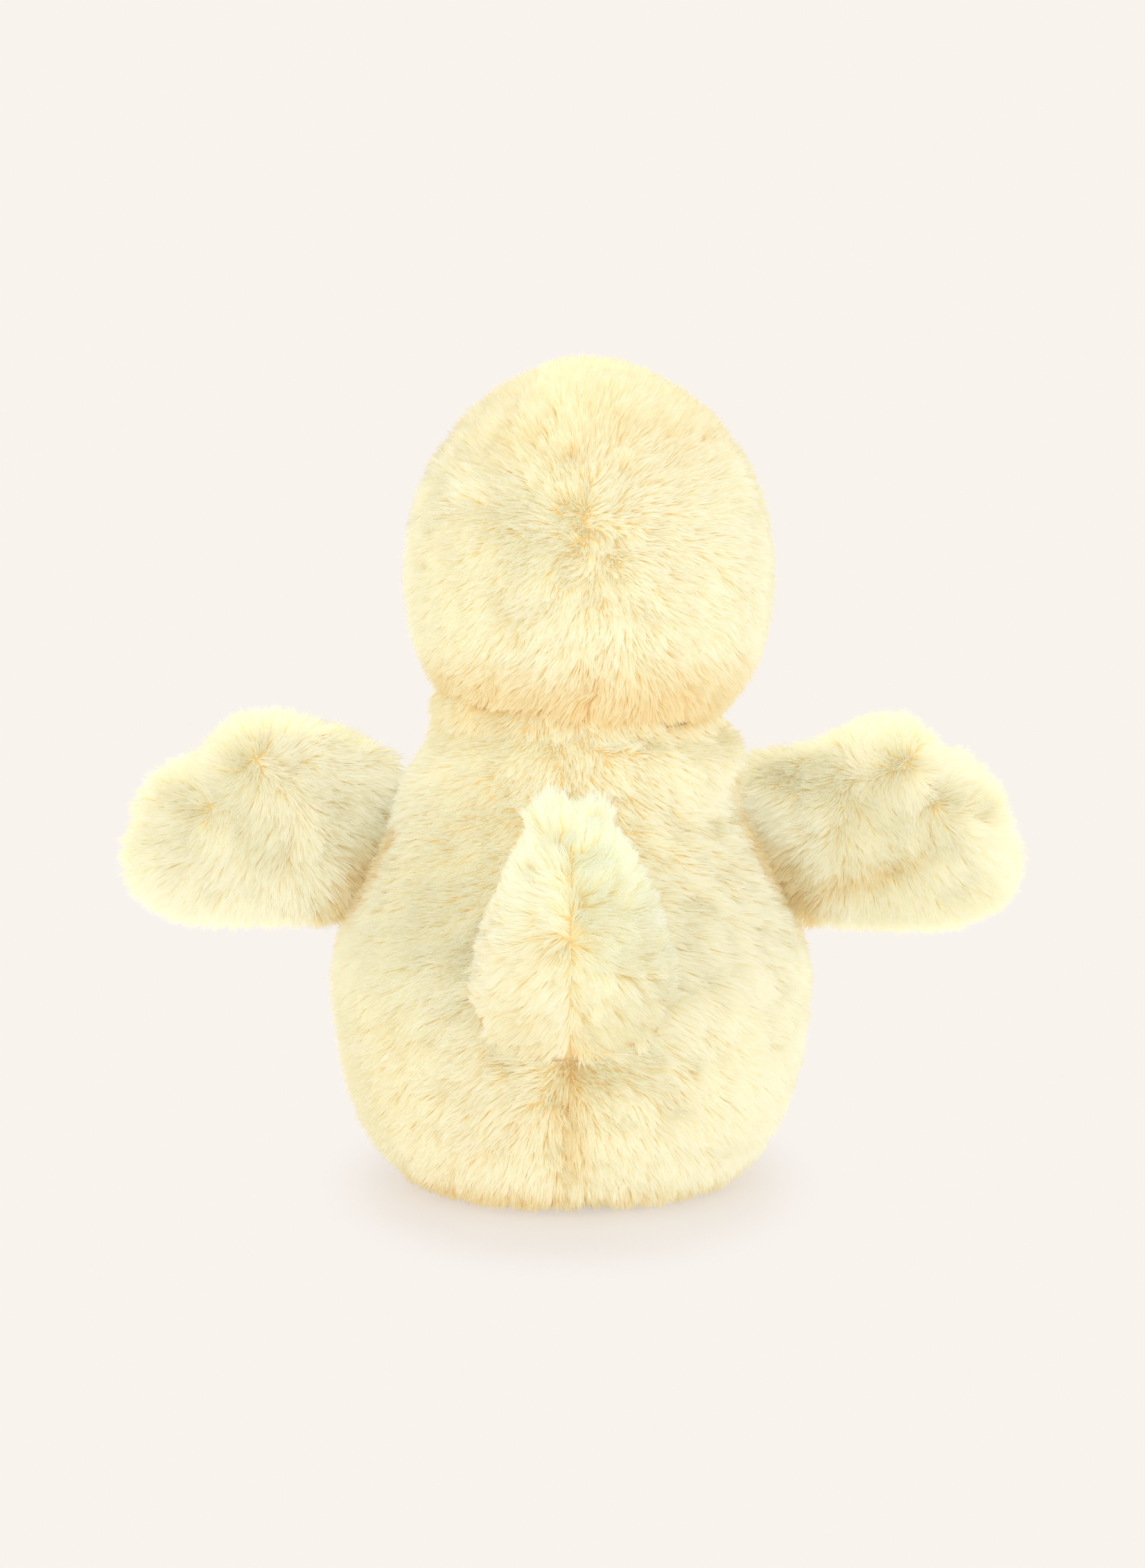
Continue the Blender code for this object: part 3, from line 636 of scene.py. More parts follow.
def pile_tree(strand):
    """Grows strands from a surface, leaning the way it is combed and drawn together into tufts."""
    sockets = {"Surface": "Geometry", "Seed": "Int", "Finish": "Material"}
    sizes = ("Strands", "Length", "Width", "Rise", "Lay", "Wander", "Stray", "Tuft spacing", "Tuft draw")
    sizes += ("Skylight",)
    sockets.update({name: "Float" for name in sizes})
    g, wires = new_tree("pile", sockets, "Pile")
    surface, seed, finish, strands, length, width, rise, lay, wander, stray, spacing, draw, skylight = wires

    def field(name, kind="FLOAT"):
        return g.node("GeometryNodeInputNamedAttribute", {"data_type": kind}, {"Name": name})

    def store(geometry, name, value, kind="FLOAT", domain="POINT"):
        settings = {"data_type": kind, "domain": domain}
        inputs = {"Geometry": geometry, "Name": name, "Value": value}
        return g.node("GeometryNodeStoreNamedAttribute", settings, inputs)

    def chance(low, high, offset, kind="FLOAT"):
        inputs = {"Min": low, "Max": high, "Seed": g.math("ADD", seed, offset)}
        return g.node("FunctionNodeRandomValue", {"data_type": kind}, inputs)

    place = g.node("GeometryNodeInputPosition")
    drift = g.node("ShaderNodeTexNoise", {}, {"Vector": place, "Scale": DRIFT_SCALE, "Detail": 2.0})
    drift = (drift.other("Color") - (0.5, 0.5, 0.5)) * (wander * DRIFT)

    def leaning(normal, reach, offset):
        sway = chance((-1.0, -1.0, -1.0), (1.0, 1.0, 1.0), offset, "FLOAT_VECTOR")
        lie = (field("comb", "FLOAT_VECTOR") + drift) * lay
        return (normal * rise + lie + sway * stray) * reach

    reach = length * field("pile")
    scatter = "GeometryNodeDistributePointsOnFaces"
    even = {"Mesh": surface, "Distance Min": spacing * TUFT_GAP, "Seed": seed}
    even["Density Max"] = TUFTS_TRIED / (spacing * spacing)
    tufts = g.node(scatter, {"distribute_method": "POISSON"}, even)
    tuft_tip = place + leaning(tufts.other("Normal"), reach * chance(*TUFT_LENGTHS, 1), 2)
    tufts = store(tufts, "tuft_tip", tuft_tip, "FLOAT_VECTOR")
    tufts = store(tufts, "tuft_root", place, "FLOAT_VECTOR")
    tufts = store(tufts, "tuft_tone", chance(-1.0, 1.0, 3))

    loose = {"Mesh": surface, "Density": strands * field("cover"), "Seed": seed}
    points = g.node(scatter, {"distribute_method": "RANDOM"}, loose)
    normal = points.other("Normal")
    near = g.node("GeometryNodeSampleNearest", {}, {"Geometry": tufts, "Sample Position": place})

    def of_tuft(name, kind="FLOAT"):
        inputs = {"Geometry": tufts, "Value": field(name, kind), "Index": near}
        return g.node("GeometryNodeSampleIndex", {"data_type": kind}, inputs)

    aside = place - of_tuft("tuft_root", "FLOAT_VECTOR")
    edge = g.vector("LENGTH", aside).other("Value") / spacing
    own_reach = reach * chance(*STRAND_LENGTHS, 4) * (TUFT_CENTRE - edge * TUFT_EDGE)
    own_tip = place + leaning(normal, own_reach, 5)
    drawn_tip = of_tuft("tuft_tip", "FLOAT_VECTOR") + aside * TUFT_SHRINK
    tip = g.mix(draw * chance(0.5, 1.0, 6), own_tip, drawn_tip, "VECTOR")
    tip = place + g.vector("NORMALIZE", tip - place) * own_reach
    tone = field("tone") + chance(-STRAND_TONE, STRAND_TONE, 7) + of_tuft("tuft_tone") * TUFT_TONE
    points = store(points, "root", place, "FLOAT_VECTOR")
    points = store(points, "tip", tip, "FLOAT_VECTOR")
    points = store(points, "outwards", normal, "FLOAT_VECTOR")
    points = store(points, "breadth", width * chance(*STRAND_WIDTHS, 8))
    points = store(points, "shade", g.math("MAXIMUM", g.math("MINIMUM", tone, 1.0), 0.0))
    shape = g.node("GeometryNodeObjectInfo", {}, {"Object": strand}).other("Geometry")
    pile = g.node("GeometryNodeInstanceOnPoints", {}, {"Points": points, "Instance": shape})
    pile = g.node("GeometryNodeRealizeInstances", {}, {"Geometry": pile})

    along = field("along")
    root, tip, outwards = (field(name, "FLOAT_VECTOR") for name in ("root", "tip", "outwards"))
    side = g.vector("NORMALIZE", g.vector("CROSS_PRODUCT", tip - root, outwards))
    beside = g.vector("NORMALIZE", g.vector("CROSS_PRODUCT", tip - root, side))
    ring = side * g.math("COSINE", field("turn")) + beside * g.math("SINE", field("turn"))
    spot = g.mix(along, root, tip, "VECTOR") + ring * (field("breadth") * (1.0 - along) * 0.5)
    height = g.node("ShaderNodeSeparateXYZ", {}, {0: spot})
    parts = {0: height, 1: height.other("Y"), 2: g.math("MAXIMUM", height.other("Z"), LOWEST)}
    spot = g.node("ShaderNodeCombineXYZ", {}, parts)
    pile = g.node("GeometryNodeSetPosition", {}, {"Geometry": pile, "Position": spot})
    normal_settings = {"mode": "FREE", "domain": "POINT"}
    above = g.node("ShaderNodeCombineXYZ", {}, {2: skylight})
    facing = g.vector("NORMALIZE", outwards + above + ring * RING_LIGHT)
    pile = g.node("GeometryNodeSetMeshNormal", normal_settings, {"Mesh": pile, "Custom Normal": facing})

    column = 1 / CHART_COLUMNS
    parts = {0: field("shade") * (1 - column) + field("across") * column, 1: along, 2: 0.0}
    chart = g.node("ShaderNodeCombineXYZ", {}, parts)
    pile = store(pile, "OFBake", chart, "FLOAT2", "CORNER")
    pile = g.node("GeometryNodeSetMaterial", {}, {"Geometry": pile, "Material": finish})
    g.node("NodeGroupOutput", {}, {"Pile": pile})
    return g.tree


def strand_colour(*bands):
    """The colour of pile: up the chart from root to tip, and across it from the first band to the last."""

    def colour(graph):
        place = graph.node("ShaderNodeUVMap", {"uv_map": "OFBake"})
        chart = graph.node("ShaderNodeSeparateXYZ", {}, {0: place})
        along = chart.other("Y")
        ramps = [graph.node("ShaderNodeValToRGB", {"stops": band}, {0: along}) for band in bands]
        mixed = ramps[0]
        for at, after in enumerate(ramps[1:]):
            mixed = graph.mix(chart * float(len(bands) - 1) - float(at), mixed, after)
        return mixed

    return colour


cream = strand_colour(
    ((0.0, "#e4b26a"), (0.35, "#ecc781"), (0.7, "#f1d89a"), (1.0, "#f3e2a8")),
    ((0.0, "#ebcd90"), (0.3, "#f0dda9"), (0.65, "#f3e7be"), (1.0, "#f4ecca")),
    ((0.0, "#f3e1ac"), (0.25, "#f6edc7"), (0.6, "#f8f5dd"), (1.0, "#f9f7e3")),
    ((0.0, "#f6ebc0"), (0.25, "#f9f3d4"), (0.6, "#fbf7e0"), (1.0, "#fbf8e6")),
)
long_pile = finish_of("long_pile", cream, 0.85, Specular_IOR_Level=0.12)
strand = shown("strand", strand_mesh())
pile_nodes = pile_tree(strand)
pile_seeds = iter(range(11, 1000, 17))


def grow_pile(name, mesh, body, slot="plush", **changes):
    """Covers a panel in pile, as a piece of its own that moves with the same body."""
    values = {
        "Strands": STRANDS,
        "Length": PILE_LENGTH,
        "Width": STRAND_WIDTH,
        "Rise": 0.76,
        "Lay": 0.56,
        "Wander": 0.7,
        "Stray": 0.20,
        "Tuft spacing": TUFT_SPACING,
        "Tuft draw": 0.55,
        "Skylight": 0.2,
        "Seed": next(pile_seeds),
        "Finish": long_pile,
    }
    values.update({key.replace("_", " "): value for key, value in changes.items()})
    made = with_nodes(mesh, pile_nodes, values)
    for stored in [a.name for a in made.attributes if a.domain == "POINT"]:
        if stored not in ("position", "custom_normal"):
            made.attributes.remove(made.attributes[stored])
    piece = shown(name, made)
    # Fibres this thin let light through, so shade comes from the backing under them.
    piece.visible_shadow = False
    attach(piece, body)
    return piece


def beyond_head(points):
    """How far each point lies outside the ball of the head."""
    return np.linalg.norm(points - np.array(head_middle), axis=1) - head_radius


seat_seam = seam_between(2, "base_panel", "belly_panel")
side_seam = seam_between(1, "belly_panel", "body_left_panel")
spine_seam = seam_between(0, "body_right_panel", "body_left_panel")
head_seam = seam_between(0, "head_right_panel", "head_left_panel")
head_low, head_high = (Vector(corner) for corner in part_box("head_left_panel"))
head_radius = (head_high.y - head_low.y) / 2
head_middle = Vector((head_seam, 0.0, head_low.z + head_radius))
skins = ("body_left_panel", "body_right_panel", "belly_panel", "base_panel")
body_form = stuffed_form(BODY_VOXEL, *skins, "body_stuffing", "bean_pouch", plug=(head_middle, head_radius))
sunk_backing(body_form, PILE_DEPTH)
points = coordinates(body_form)
x, y, z = points.T
seams = [bell(x - spine_seam, SEAM_REACH) * (y > 0), bell(y - side_seam, SEAM_REACH), under(z, *SEAT_HELD)]
held = np.max([*seams, under(beyond_head(points), *DISH_HELD)], axis=0)
stuffed_by_cloth(body_form, held, BODY_SWELL, PRESSURE)
dish_radius = head_radius - PILE_DEPTH + DISH_OVERLAP
kept_where(body_form, lambda co: (co - head_middle).length > dish_radius and co.z < head_middle.z)

points, facing = coordinates(body_form), normals(body_form)
x, y, z = points.T
from_head = beyond_head(points)
behind = ramp(y, *BEHIND)
shoulder = SHOULDER - SHOULDER_SLOPE * abs(x + COLLAR_SHIFT)
move = LUMP_DEPTH * lumps(points, LUMP_SIZE, 3) - HEM_TUCK * bell(z - HEM_HEIGHT, HEM_REACH)
rolled = COLLAR_ROLL * bell(z - shoulder, COLLAR_REACH)
rolled -= FOLD_PULL * bell(z - shoulder - COLLAR_FOLD, FOLD_REACH)
move += behind * rolled * ramp(from_head, *COLLAR_START)
along_spine = behind * under(z, SPINE_TOP - SPINE_FADE, SPINE_TOP) * ramp(z, *SPINE_BOTTOM)
move -= SPINE_PULL * bell(x - spine_seam, SEAM_REACH) * along_spine
# The creases are drawn in, and the darker, orange tone given to them further on is painted shade where the
# wings meet the body.
crease = np.max([bell(distance_to_path(points, path), CREASE_REACH) for path in CREASES], axis=0) * behind
move -= CREASE_DEPTH * crease
points = points + facing * move[:, None]
points[:, 0] -= COLLAR_SHIFT * ramp(points[:, 2], *COLLAR_LEAN) * ramp(from_head, *NECK_LEAN)
points[:, 2] -= (PILE_DEPTH - SEAT_PILE_DEPTH) * under(points[:, 2], PILE_DEPTH, SEAT_EDGE)
coordinates(body_form, points)

x, y, z = points.T
side = x - spine_seam
from_head = beyond_head(points)
from_tail = points - np.array([0.0, 0.0, TAIL_HEIGHT])
from_tail[:, 1] = 0.0
parting = bell(side, SPINE_PARTING) * along_spine
under_tail = np.hypot(x / TAIL_ROOT[0], (z - TAIL_HEIGHT) / TAIL_ROOT[1])
# Beside the tail the pile is thicker, longer and paler; the paler tone is painted light that lifts the shade
# the tail casts there.
around_tail = under(under_tail, *NEAR_TAIL) * behind * ramp(z, *TAIL_FLANKS)
below_tail = bell(np.hypot(x / BELOW_TAIL[0], (z - BELOW_TAIL_HEIGHT) / BELOW_TAIL[1]), 1.0) * behind
on_seat = under(z, *SEAT_NAP)
at_wings = under(distance_to(points, "left_wing_back_skin", "right_wing_back_skin"), *NEAR_WINGS)
# Darker low at the wing roots: painted shade in the armpits.
armpit = under(z, *ARMPIT) * at_wings
# The collar's darker tone is painted shade under the head.
collar = ramp(z, shoulder + COLLAR_EDGE[0], shoulder + COLLAR_EDGE[1])
# Paler along the shoulder's arc: a painted highlight on its bulge.
arc = bell(z - shoulder + ARC_DROP, ARC_REACH) * behind
# Paler on the right flank and darker on the left, low down: painted light and shade on the two sides.
right_flank = np.tanh(-side / FLANK_TURN) * behind * under(z, *FLANK_SHADE)

apart = np.where(y > side_seam, NAP_APART + NAP_APART_HIGH * ramp(z, *APART_RISE), BELLY_APART)
wind = flow(np.tanh(side / NAP_TURN) * apart, 0.0, -NAP_DOWN)
near_tail = bell(np.linalg.norm(from_tail, axis=1), FROM_TAIL_REACH)
wind += unit(from_tail) * (behind * FROM_TAIL * near_tail)[:, None]
wind = blended(wind, flow(np.tanh(side / SWIRL_TURN) * SWIRL_APART, 0.0, SWIRL_UP), below_tail)
wind = blended(wind, points * np.array([SEAT_FLOW, SEAT_FLOW, 0.0]), on_seat)

cover = ramp(from_head + PILE_DEPTH, -DISH_OVERLAP, DISH_OVERLAP)
cover *= 1 + BODY_COVER["seat"] * on_seat
cover *= 1 + BODY_COVER["spine"] * parting + BODY_COVER["around_tail"] * around_tail
cover[(under_tail < 1) & (y > 0)] = 0.0
fields = {"spine": parting, "collar": collar, "around_tail": around_tail, "crease": crease}
uneven = lumps(points, PILE_LUMPS, 5)
pile = scaled(BODY_PILE, seat=on_seat, lumps=uneven, below_tail=below_tail, **fields)
pile *= weighed(WING_ROOT_PILE, wings=at_wings, armpit=armpit)
fields |= {"armpit": armpit, "arc": arc, "right_flank": right_flank}
# Next to the head the pile is darker still: painted shade under its hem.
fields |= {"lumps": lumps(points, TONE_LUMPS, 7), "neck": bell(from_head + PILE_DEPTH, NECK_SHADE)}
# Darker low down and darker still along the bottom edge: painted shade where the body sits on the floor.
fields |= {"low": under(z, *LOW_SHADE), "hem": under(z, *HEM_SHADE)}
tone = weighed(BODY_TONE, **fields)
comb(body_form, wind, cover, pile, tone, lie=(1 - SPINE_LIE * parting) * (1 - SWIRL_LIE * below_tail))
body_panels = {
    "back_left": ("body_left_panel", (0, 1, spine_seam), (1, 1, side_seam), (2, 1, seat_seam)),
    "back_right": ("body_right_panel", (0, -1, spine_seam), (1, 1, side_seam), (2, 1, seat_seam)),
    "belly": ("belly_panel", (1, -1, side_seam), (2, 1, seat_seam)),
    "seat": ("base_panel", (2, -1, seat_seam)),
}
for name, (node_name, *planes) in body_panels.items():
    piece = panel(name, body_form, *planes)
    sew_panel(f"{name}_cloth", piece, "body", node_name)
    grow_pile(f"{name}_pile", piece, "body", Strands=BELLY_STRANDS if name == "belly" else STRANDS)

# Tail
# Two small panels of the same fabric, drawn out to a raised end. Its longest tufts stand to both sides
# of the seam, and their tips are paler, with a touch of green.
TAIL_VOXEL = 0.0015
TAIL_SWELL = 0.0006
TAIL_PRESSURE = PRESSURE * 3
TAIL_SEAM_REACH = 0.002
TAIL_NOTCH, NOTCH_PLACE, NOTCH_REACH, NOTCH_START = 0.0035, -0.001, 0.0030, 0.7
TIP_SQUEEZE, TIP_START = 0.30, 0.72
SQUASH_FROM, SQUASH, SQUASHED_HEIGHTS = 0.045, 0.45, (0.02, 0.50)  # of the end that stands off the back
EDGE_TURN, EDGE_BOTTOM, EDGE_TOP = (0.4, 0.8), (-0.05, 0.20), (0.85, 0.95)
TAIL_PARTING = 0.0022
TAIL_NAP_TURN, TAIL_NAP_APART, TAIL_NAP_TIP = 0.0012, 0.9, 0.85
NAP_TO_BODY, NAP_SINK, NAP_RISE = 1.2, 0.25, 1.15
TIP_TUFTS, TIP_TUFT_REACH = (0.0050, -0.0070), 0.0032
TAIL_PILE = 1.5
TIP_PILE = {"plain": 1.0, "tips": 0.55, "top": -0.15}
TAIL_SIDE_PILE = (0.55, 0.25)  # how much shorter on the edge to the left, and to the right
TAIL_PARTING_PILE, UNDERSIDE, UNDERSIDE_PILE, TAIL_PARTING_LIE = 0.10, (0.2, 0.8), 0.35, 0.35
# Shares of the tail's height between which each of these comes in.
CLOSING, RISING, TIP, HIGH = (0.62, 0.92), (0.40, 0.95), (0.75, 0.95), (0.35, 0.90)
SINKING, TO_BODY, LOW = (0.10, 0.40), (0.25, 0.60), (0.05, 0.40)
TAIL_LEFT = (0.0, 0.004)
FILLING_MARGIN = 0.0002
TAIL_TONE = {"plain": 0.47, "high": 0.30, "seam": -0.06, "left": -0.14, "low": -0.14}
TAIL_STRANDS = STRANDS * 1.5
TAIL_TUFTS = TUFT_SPACING * 1.35

tail_form = stuffed_form(TAIL_VOXEL, "tail_left_panel", "tail_right_panel", "tail_stuffing")
sunk_backing(tail_form, PILE_DEPTH)
tail_seam = seam_between(0, "tail_right_panel", "tail_left_panel")
held = bell(coordinates(tail_form)[:, 0] - tail_seam, TAIL_SEAM_REACH)
stuffed_by_cloth(tail_form, held, TAIL_SWELL, TAIL_PRESSURE)
points = coordinates(tail_form)
tail_bottom, tail_top = points[:, 2].min(), points[:, 2].max()
height = (points[:, 2] - tail_bottom) / (tail_top - tail_bottom)
side = points[:, 0] - tail_seam
points[:, 2] -= TAIL_NOTCH * bell(side - NOTCH_PLACE, NOTCH_REACH) * ramp(height, NOTCH_START, 1.0)
points[:, 0] -= side * TIP_SQUEEZE * ramp(height, TIP_START, 1.0)
points[:, 1] -= np.maximum(points[:, 1] - SQUASH_FROM, 0) * SQUASH * under(height, *SQUASHED_HEIGHTS)
points = over_filling(points, "tail_stuffing", FILLING_MARGIN)
side = points[:, 0] - tail_seam
coordinates(tail_form, points)
facing = normals(tail_form)
edge = ramp(abs(facing[:, 0]), *EDGE_TURN) * ramp(height, *EDGE_BOTTOM) * under(height, *EDGE_TOP)
parting = bell(side, TAIL_PARTING)
outer = TAIL_NAP_APART - TAIL_NAP_TIP * ramp(height, *CLOSING)
upward = NAP_RISE * ramp(height, *RISING) - NAP_SINK * under(height, *SINKING)
to_body = -NAP_TO_BODY * under(height, *TO_BODY)
wind = flow(np.tanh(side / TAIL_NAP_TURN) * outer, to_body, upward)
tips = sum(bell(side - place, TIP_TUFT_REACH) for place in TIP_TUFTS)
at_tip = ramp(height, *TIP)
pile = (TAIL_PILE - TAIL_PARTING_PILE * parting) * weighed(TIP_PILE, tips=tips * at_tip, top=at_tip)
pile *= 1 - np.where(side > 0, *TAIL_SIDE_PILE) * edge
pile *= 1 - UNDERSIDE_PILE * ramp(-facing[:, 2], *UNDERSIDE)
fields = {"high": ramp(height, *HIGH), "seam": parting * (1 - height)}
fields |= {"left": ramp(side, *TAIL_LEFT), "low": under(height, *LOW)}
tone = weighed(TAIL_TONE, **fields)
comb(tail_form, wind, np.ones(len(side)), pile, tone, lie=1 - TAIL_PARTING_LIE * parting)
pale_cream = strand_colour(
    ((0.0, "#e9cc8a"), (0.3, "#eedca4"), (0.65, "#f0e5ba"), (1.0, "#f2ebc8")),
    ((0.0, "#eedfa8"), (0.25, "#f2eac4"), (0.6, "#f5f2da"), (1.0, "#f6f5e1")),
    ((0.0, "#eee6b8"), (0.25, "#f1f0d3"), (0.6, "#f1f5e4"), (1.0, "#eff7ec")),
)
tail_pile = finish_of("tail_pile", pale_cream, 0.85, Specular_IOR_Level=0.12)
for name, sign in (("left", 1), ("right", -1)):
    piece = panel(f"tail_{name}", tail_form, (0, sign, tail_seam))
    cloth = sew_panel(f"tail_{name}_cloth", piece, "body", f"tail_{name}_panel")
    cloth.visible_shadow = False
    finer = {"Finish": tail_pile, "Strands": TAIL_STRANDS, "Wander": 1.0, "Rise": 0.62, "Lay": 0.70}
    finer |= {"Tuft_spacing": TAIL_TUFTS, "Tuft_draw": 0.62}
    grow_pile(f"tail_{name}_pile", piece, "body", slot="tail_plush", **finer)

# Head
# Two panels that meet over the crown, stuffed to a ball and sewn to the body round the neck. The nap
# runs out from a parting at the back, forward over the crown, and away from the bill over the face.
HEAD_VOXEL = 0.0018
HEAD_SWELL = 0.0008
NECK_HELD = (0.106, 0.112)  # heights between which the neck lets go of the cloth
HEAD_LUMPS = 0.028
HEAD_SIDE = (-0.012, 0.012)  # depths from its middle between which the face turns into the back
PARTING_HEIGHT = 0.019  # of the nap's parting above the head's middle, at the back
PARTING_SLANT = 0.32  # of its line, to the right on the way down
PARTING_TURN, PARTING_APART = 0.008, 0.9
RISE_REACH, RISE_LIMITS = 0.016, (-1.0, 0.9)
CROWN, CROWN_FORWARD = (0.018, 0.036), 0.5
FACE_DROP = 0.25
# Reaches aside of the parting, and the heights between which each of these comes in and goes out.
PARTING_REACH, PARTING_LOW, PARTING_HIGH = 0.0045, (-0.010, 0.008), (0.024, 0.034)
THICK_REACH, THICK_LEFT, THICK_LEFT_REACH, THICK_LOW = 0.006, 0.012, 0.010, (-0.016, 0.004)
OPENED_REACH, OPENED_LOW, OPENED_HIGH = 0.008, (-0.014, 0.004), (0.014, 0.028)
LEFT_TURN, LEFT_REACH, LEFT_LOW, LEFT_HIGH = 0.006, 0.018, (-0.020, -0.006), (0.008, 0.020)
HEAD_SEAM_REACH, HEAD_SEAM_TOP = 0.0025, (0.002, 0.012)
RIM_REACH, CROWN_SHADE, HEAD_TONE_LUMPS = 0.030, (0.018, 0.034), 0.012
THICK_COVER = 0.5
MUZZLE_PILE, MUZZLE_REACH = 0.28, 0.030
PARTING_LIE, HEAD_SEAM_LIE = 0.5, 0.2
HEM_LUMP, HEM_LUMP_SIZE = 0.0012, 0.014
EYE_NAP, EYE_NAP_REACH, EYE_PILE, EYE_PILE_REACH = 2.5, 0.0060, 0.35, 0.0070
EYE_FADE = 0.0004
HEM_SHARES = (-0.665, -0.62)  # of the head's radius, where its pile starts over the neck
NAPE, NAPE_END, NAPE_FADE = (0.004, 0.022), (0.025, 0.032), 0.5
# Tone carries painted shade over the crown and under the nape, and painted light and shade on the two sides
# of the back of the head.
HEAD_TONE = {"plain": 0.73, "rim": -0.02, "opened": 0.18, "left": 0.06, "seam": -0.05, "crown": -0.20}
HEAD_TONE |= {"lumps": 0.02, "nape": -0.46}
HEAD_TUFTS = TUFT_SPACING * 0.9
EYE_TURN = math.radians(36)  # out from the bill
EYE_CLEARANCE = 0.0034
BILL_CLEARANCE = (0.0118, 0.0050)

head_form = stuffed_form(HEAD_VOXEL, "head_left_panel", "head_right_panel", "head_stuffing")
sunk_backing(head_form, PILE_DEPTH)
points = coordinates(head_form)
held = np.maximum(bell(points[:, 0] - head_seam, SEAM_REACH), under(points[:, 2], *NECK_HELD))
stuffed_by_cloth(head_form, held, HEAD_SWELL, PRESSURE)
points, facing = coordinates(head_form), normals(head_form)
points = points + facing * (LUMP_DEPTH * lumps(points, HEAD_LUMPS, 21))[:, None]
coordinates(head_form, points)
centre = np.array(head_middle)
x, y, z = (points - centre).T
mouth = seam_between(2, "bill_underside", "bill_top")
at_back = ramp(y, *HEAD_SIDE)
aside = x - PARTING_SLANT * (z - PARTING_HEIGHT)
rise = np.clip((z - PARTING_HEIGHT) / RISE_REACH, *RISE_LIMITS)
from_muzzle = points - centre - np.array([0.0, -head_radius, mouth - centre[2]])
face = unit(from_muzzle) - np.array([0.0, 0.0, FACE_DROP])
away = flow(np.tanh(aside / PARTING_TURN) * PARTING_APART, -CROWN_FORWARD * ramp(z, *CROWN), rise)
wind = blended(face, away, at_back)
hem = z + HEM_LUMP * lumps(points, HEM_LUMP_SIZE, 5)
cover = ramp(hem, *(share * head_radius for share in HEM_SHARES))
thick = np.maximum(bell(aside, THICK_REACH), bell(aside - THICK_LEFT, THICK_LEFT_REACH))
cover *= 1 + THICK_COVER * thick * at_back * ramp(z, *THICK_LOW)
parting = bell(aside, PARTING_REACH) * at_back * ramp(z, *PARTING_LOW) * under(z, *PARTING_HIGH)
seam = bell(x, HEAD_SEAM_REACH) * at_back * under(z, *HEAD_SEAM_TOP)
pile = 1 - MUZZLE_PILE * bell(np.linalg.norm(from_muzzle, axis=1), MUZZLE_REACH)
from_behind = np.linalg.norm(points[:, (0, 2)] - centre[[0, 2]], axis=1)
opened = bell(aside, OPENED_REACH) * at_back * ramp(z, *OPENED_LOW) * under(z, *OPENED_HIGH)
# Paler on the head's left of the parting and darker on its right: painted light and shade on the two sides.
painted_side_light = np.tanh(aside / LEFT_TURN) * bell(aside, LEFT_REACH) * at_back
painted_side_light *= ramp(z, *LEFT_LOW) * under(z, *LEFT_HIGH)
# Darker under the back of the head: painted shade on the nape.
nape = ramp(-z, *NAPE) * (1 - NAPE_FADE * ramp(-z, *NAPE_END)) * at_back
fields = {"rim": 1 - bell(from_behind, RIM_REACH), "opened": opened, "left": painted_side_light, "seam": seam}
fields |= {"crown": ramp(z, *CROWN_SHADE), "lumps": lumps(points, HEAD_TONE_LUMPS, 9), "nape": nape}
tone = weighed(HEAD_TONE, **fields)
for sign in (1, -1):
    eye_side = "left" if sign > 0 else "right"
    eye_low, eye_high = (np.array(corner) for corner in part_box(f"{eye_side}_eye"))
    to_eye = points - (eye_low + eye_high) / 2
    look = np.array([sign * math.sin(EYE_TURN), -math.cos(EYE_TURN), 0.0])
    to_eye = to_eye - look * (to_eye @ look)[:, None]
    distance = np.linalg.norm(to_eye, axis=1) + head_radius * (facing @ look < 0)
    cover *= ramp(distance, EYE_CLEARANCE - EYE_FADE, EYE_CLEARANCE)
    wind += unit(to_eye) * EYE_NAP * bell(distance, EYE_NAP_REACH)[:, None]
    pile *= 1 - EYE_PILE * bell(distance, EYE_PILE_REACH)
across, above = x / BILL_CLEARANCE[0], (points[:, 2] - mouth) / BILL_CLEARANCE[1]
cover *= np.where((across**2 + above**2 < 1) & (y < 0), 0.0, 1.0)
comb(head_form, wind, cover, pile, tone, lie=1 - PARTING_LIE * parting - HEAD_SEAM_LIE * seam)
for name, sign in (("left", 1), ("right", -1)):
    piece = panel(f"head_{name}", head_form, (0, sign, head_seam))
    sew_panel(f"head_{name}_cloth", piece, "head", f"head_{name}_panel")
    grow_pile(f"head_{name}_pile", piece, "head", Tuft_spacing=HEAD_TUFTS)

# Eyes
# Moulded black domes with a ribbed shank that goes through the fabric. A pressed-on washer holds each
# from inside the head, where it never shows.
EYE_RADIUS = 0.0038
EYE_HEIGHT = 0.0050
SHANK_RADIUS = 0.0013
SHANK_RIBS = 5
DOME_EDGE = 0.0003  # the small bevel behind the dome
EYE_SIDES = 40
EYE_DARK, EYE_LIGHT = (0.006, 0.005, 0.005), (0.016, 0.013, 0.012)
WASHER_WHITE = ("#dcdbd4", "#ebeae4")


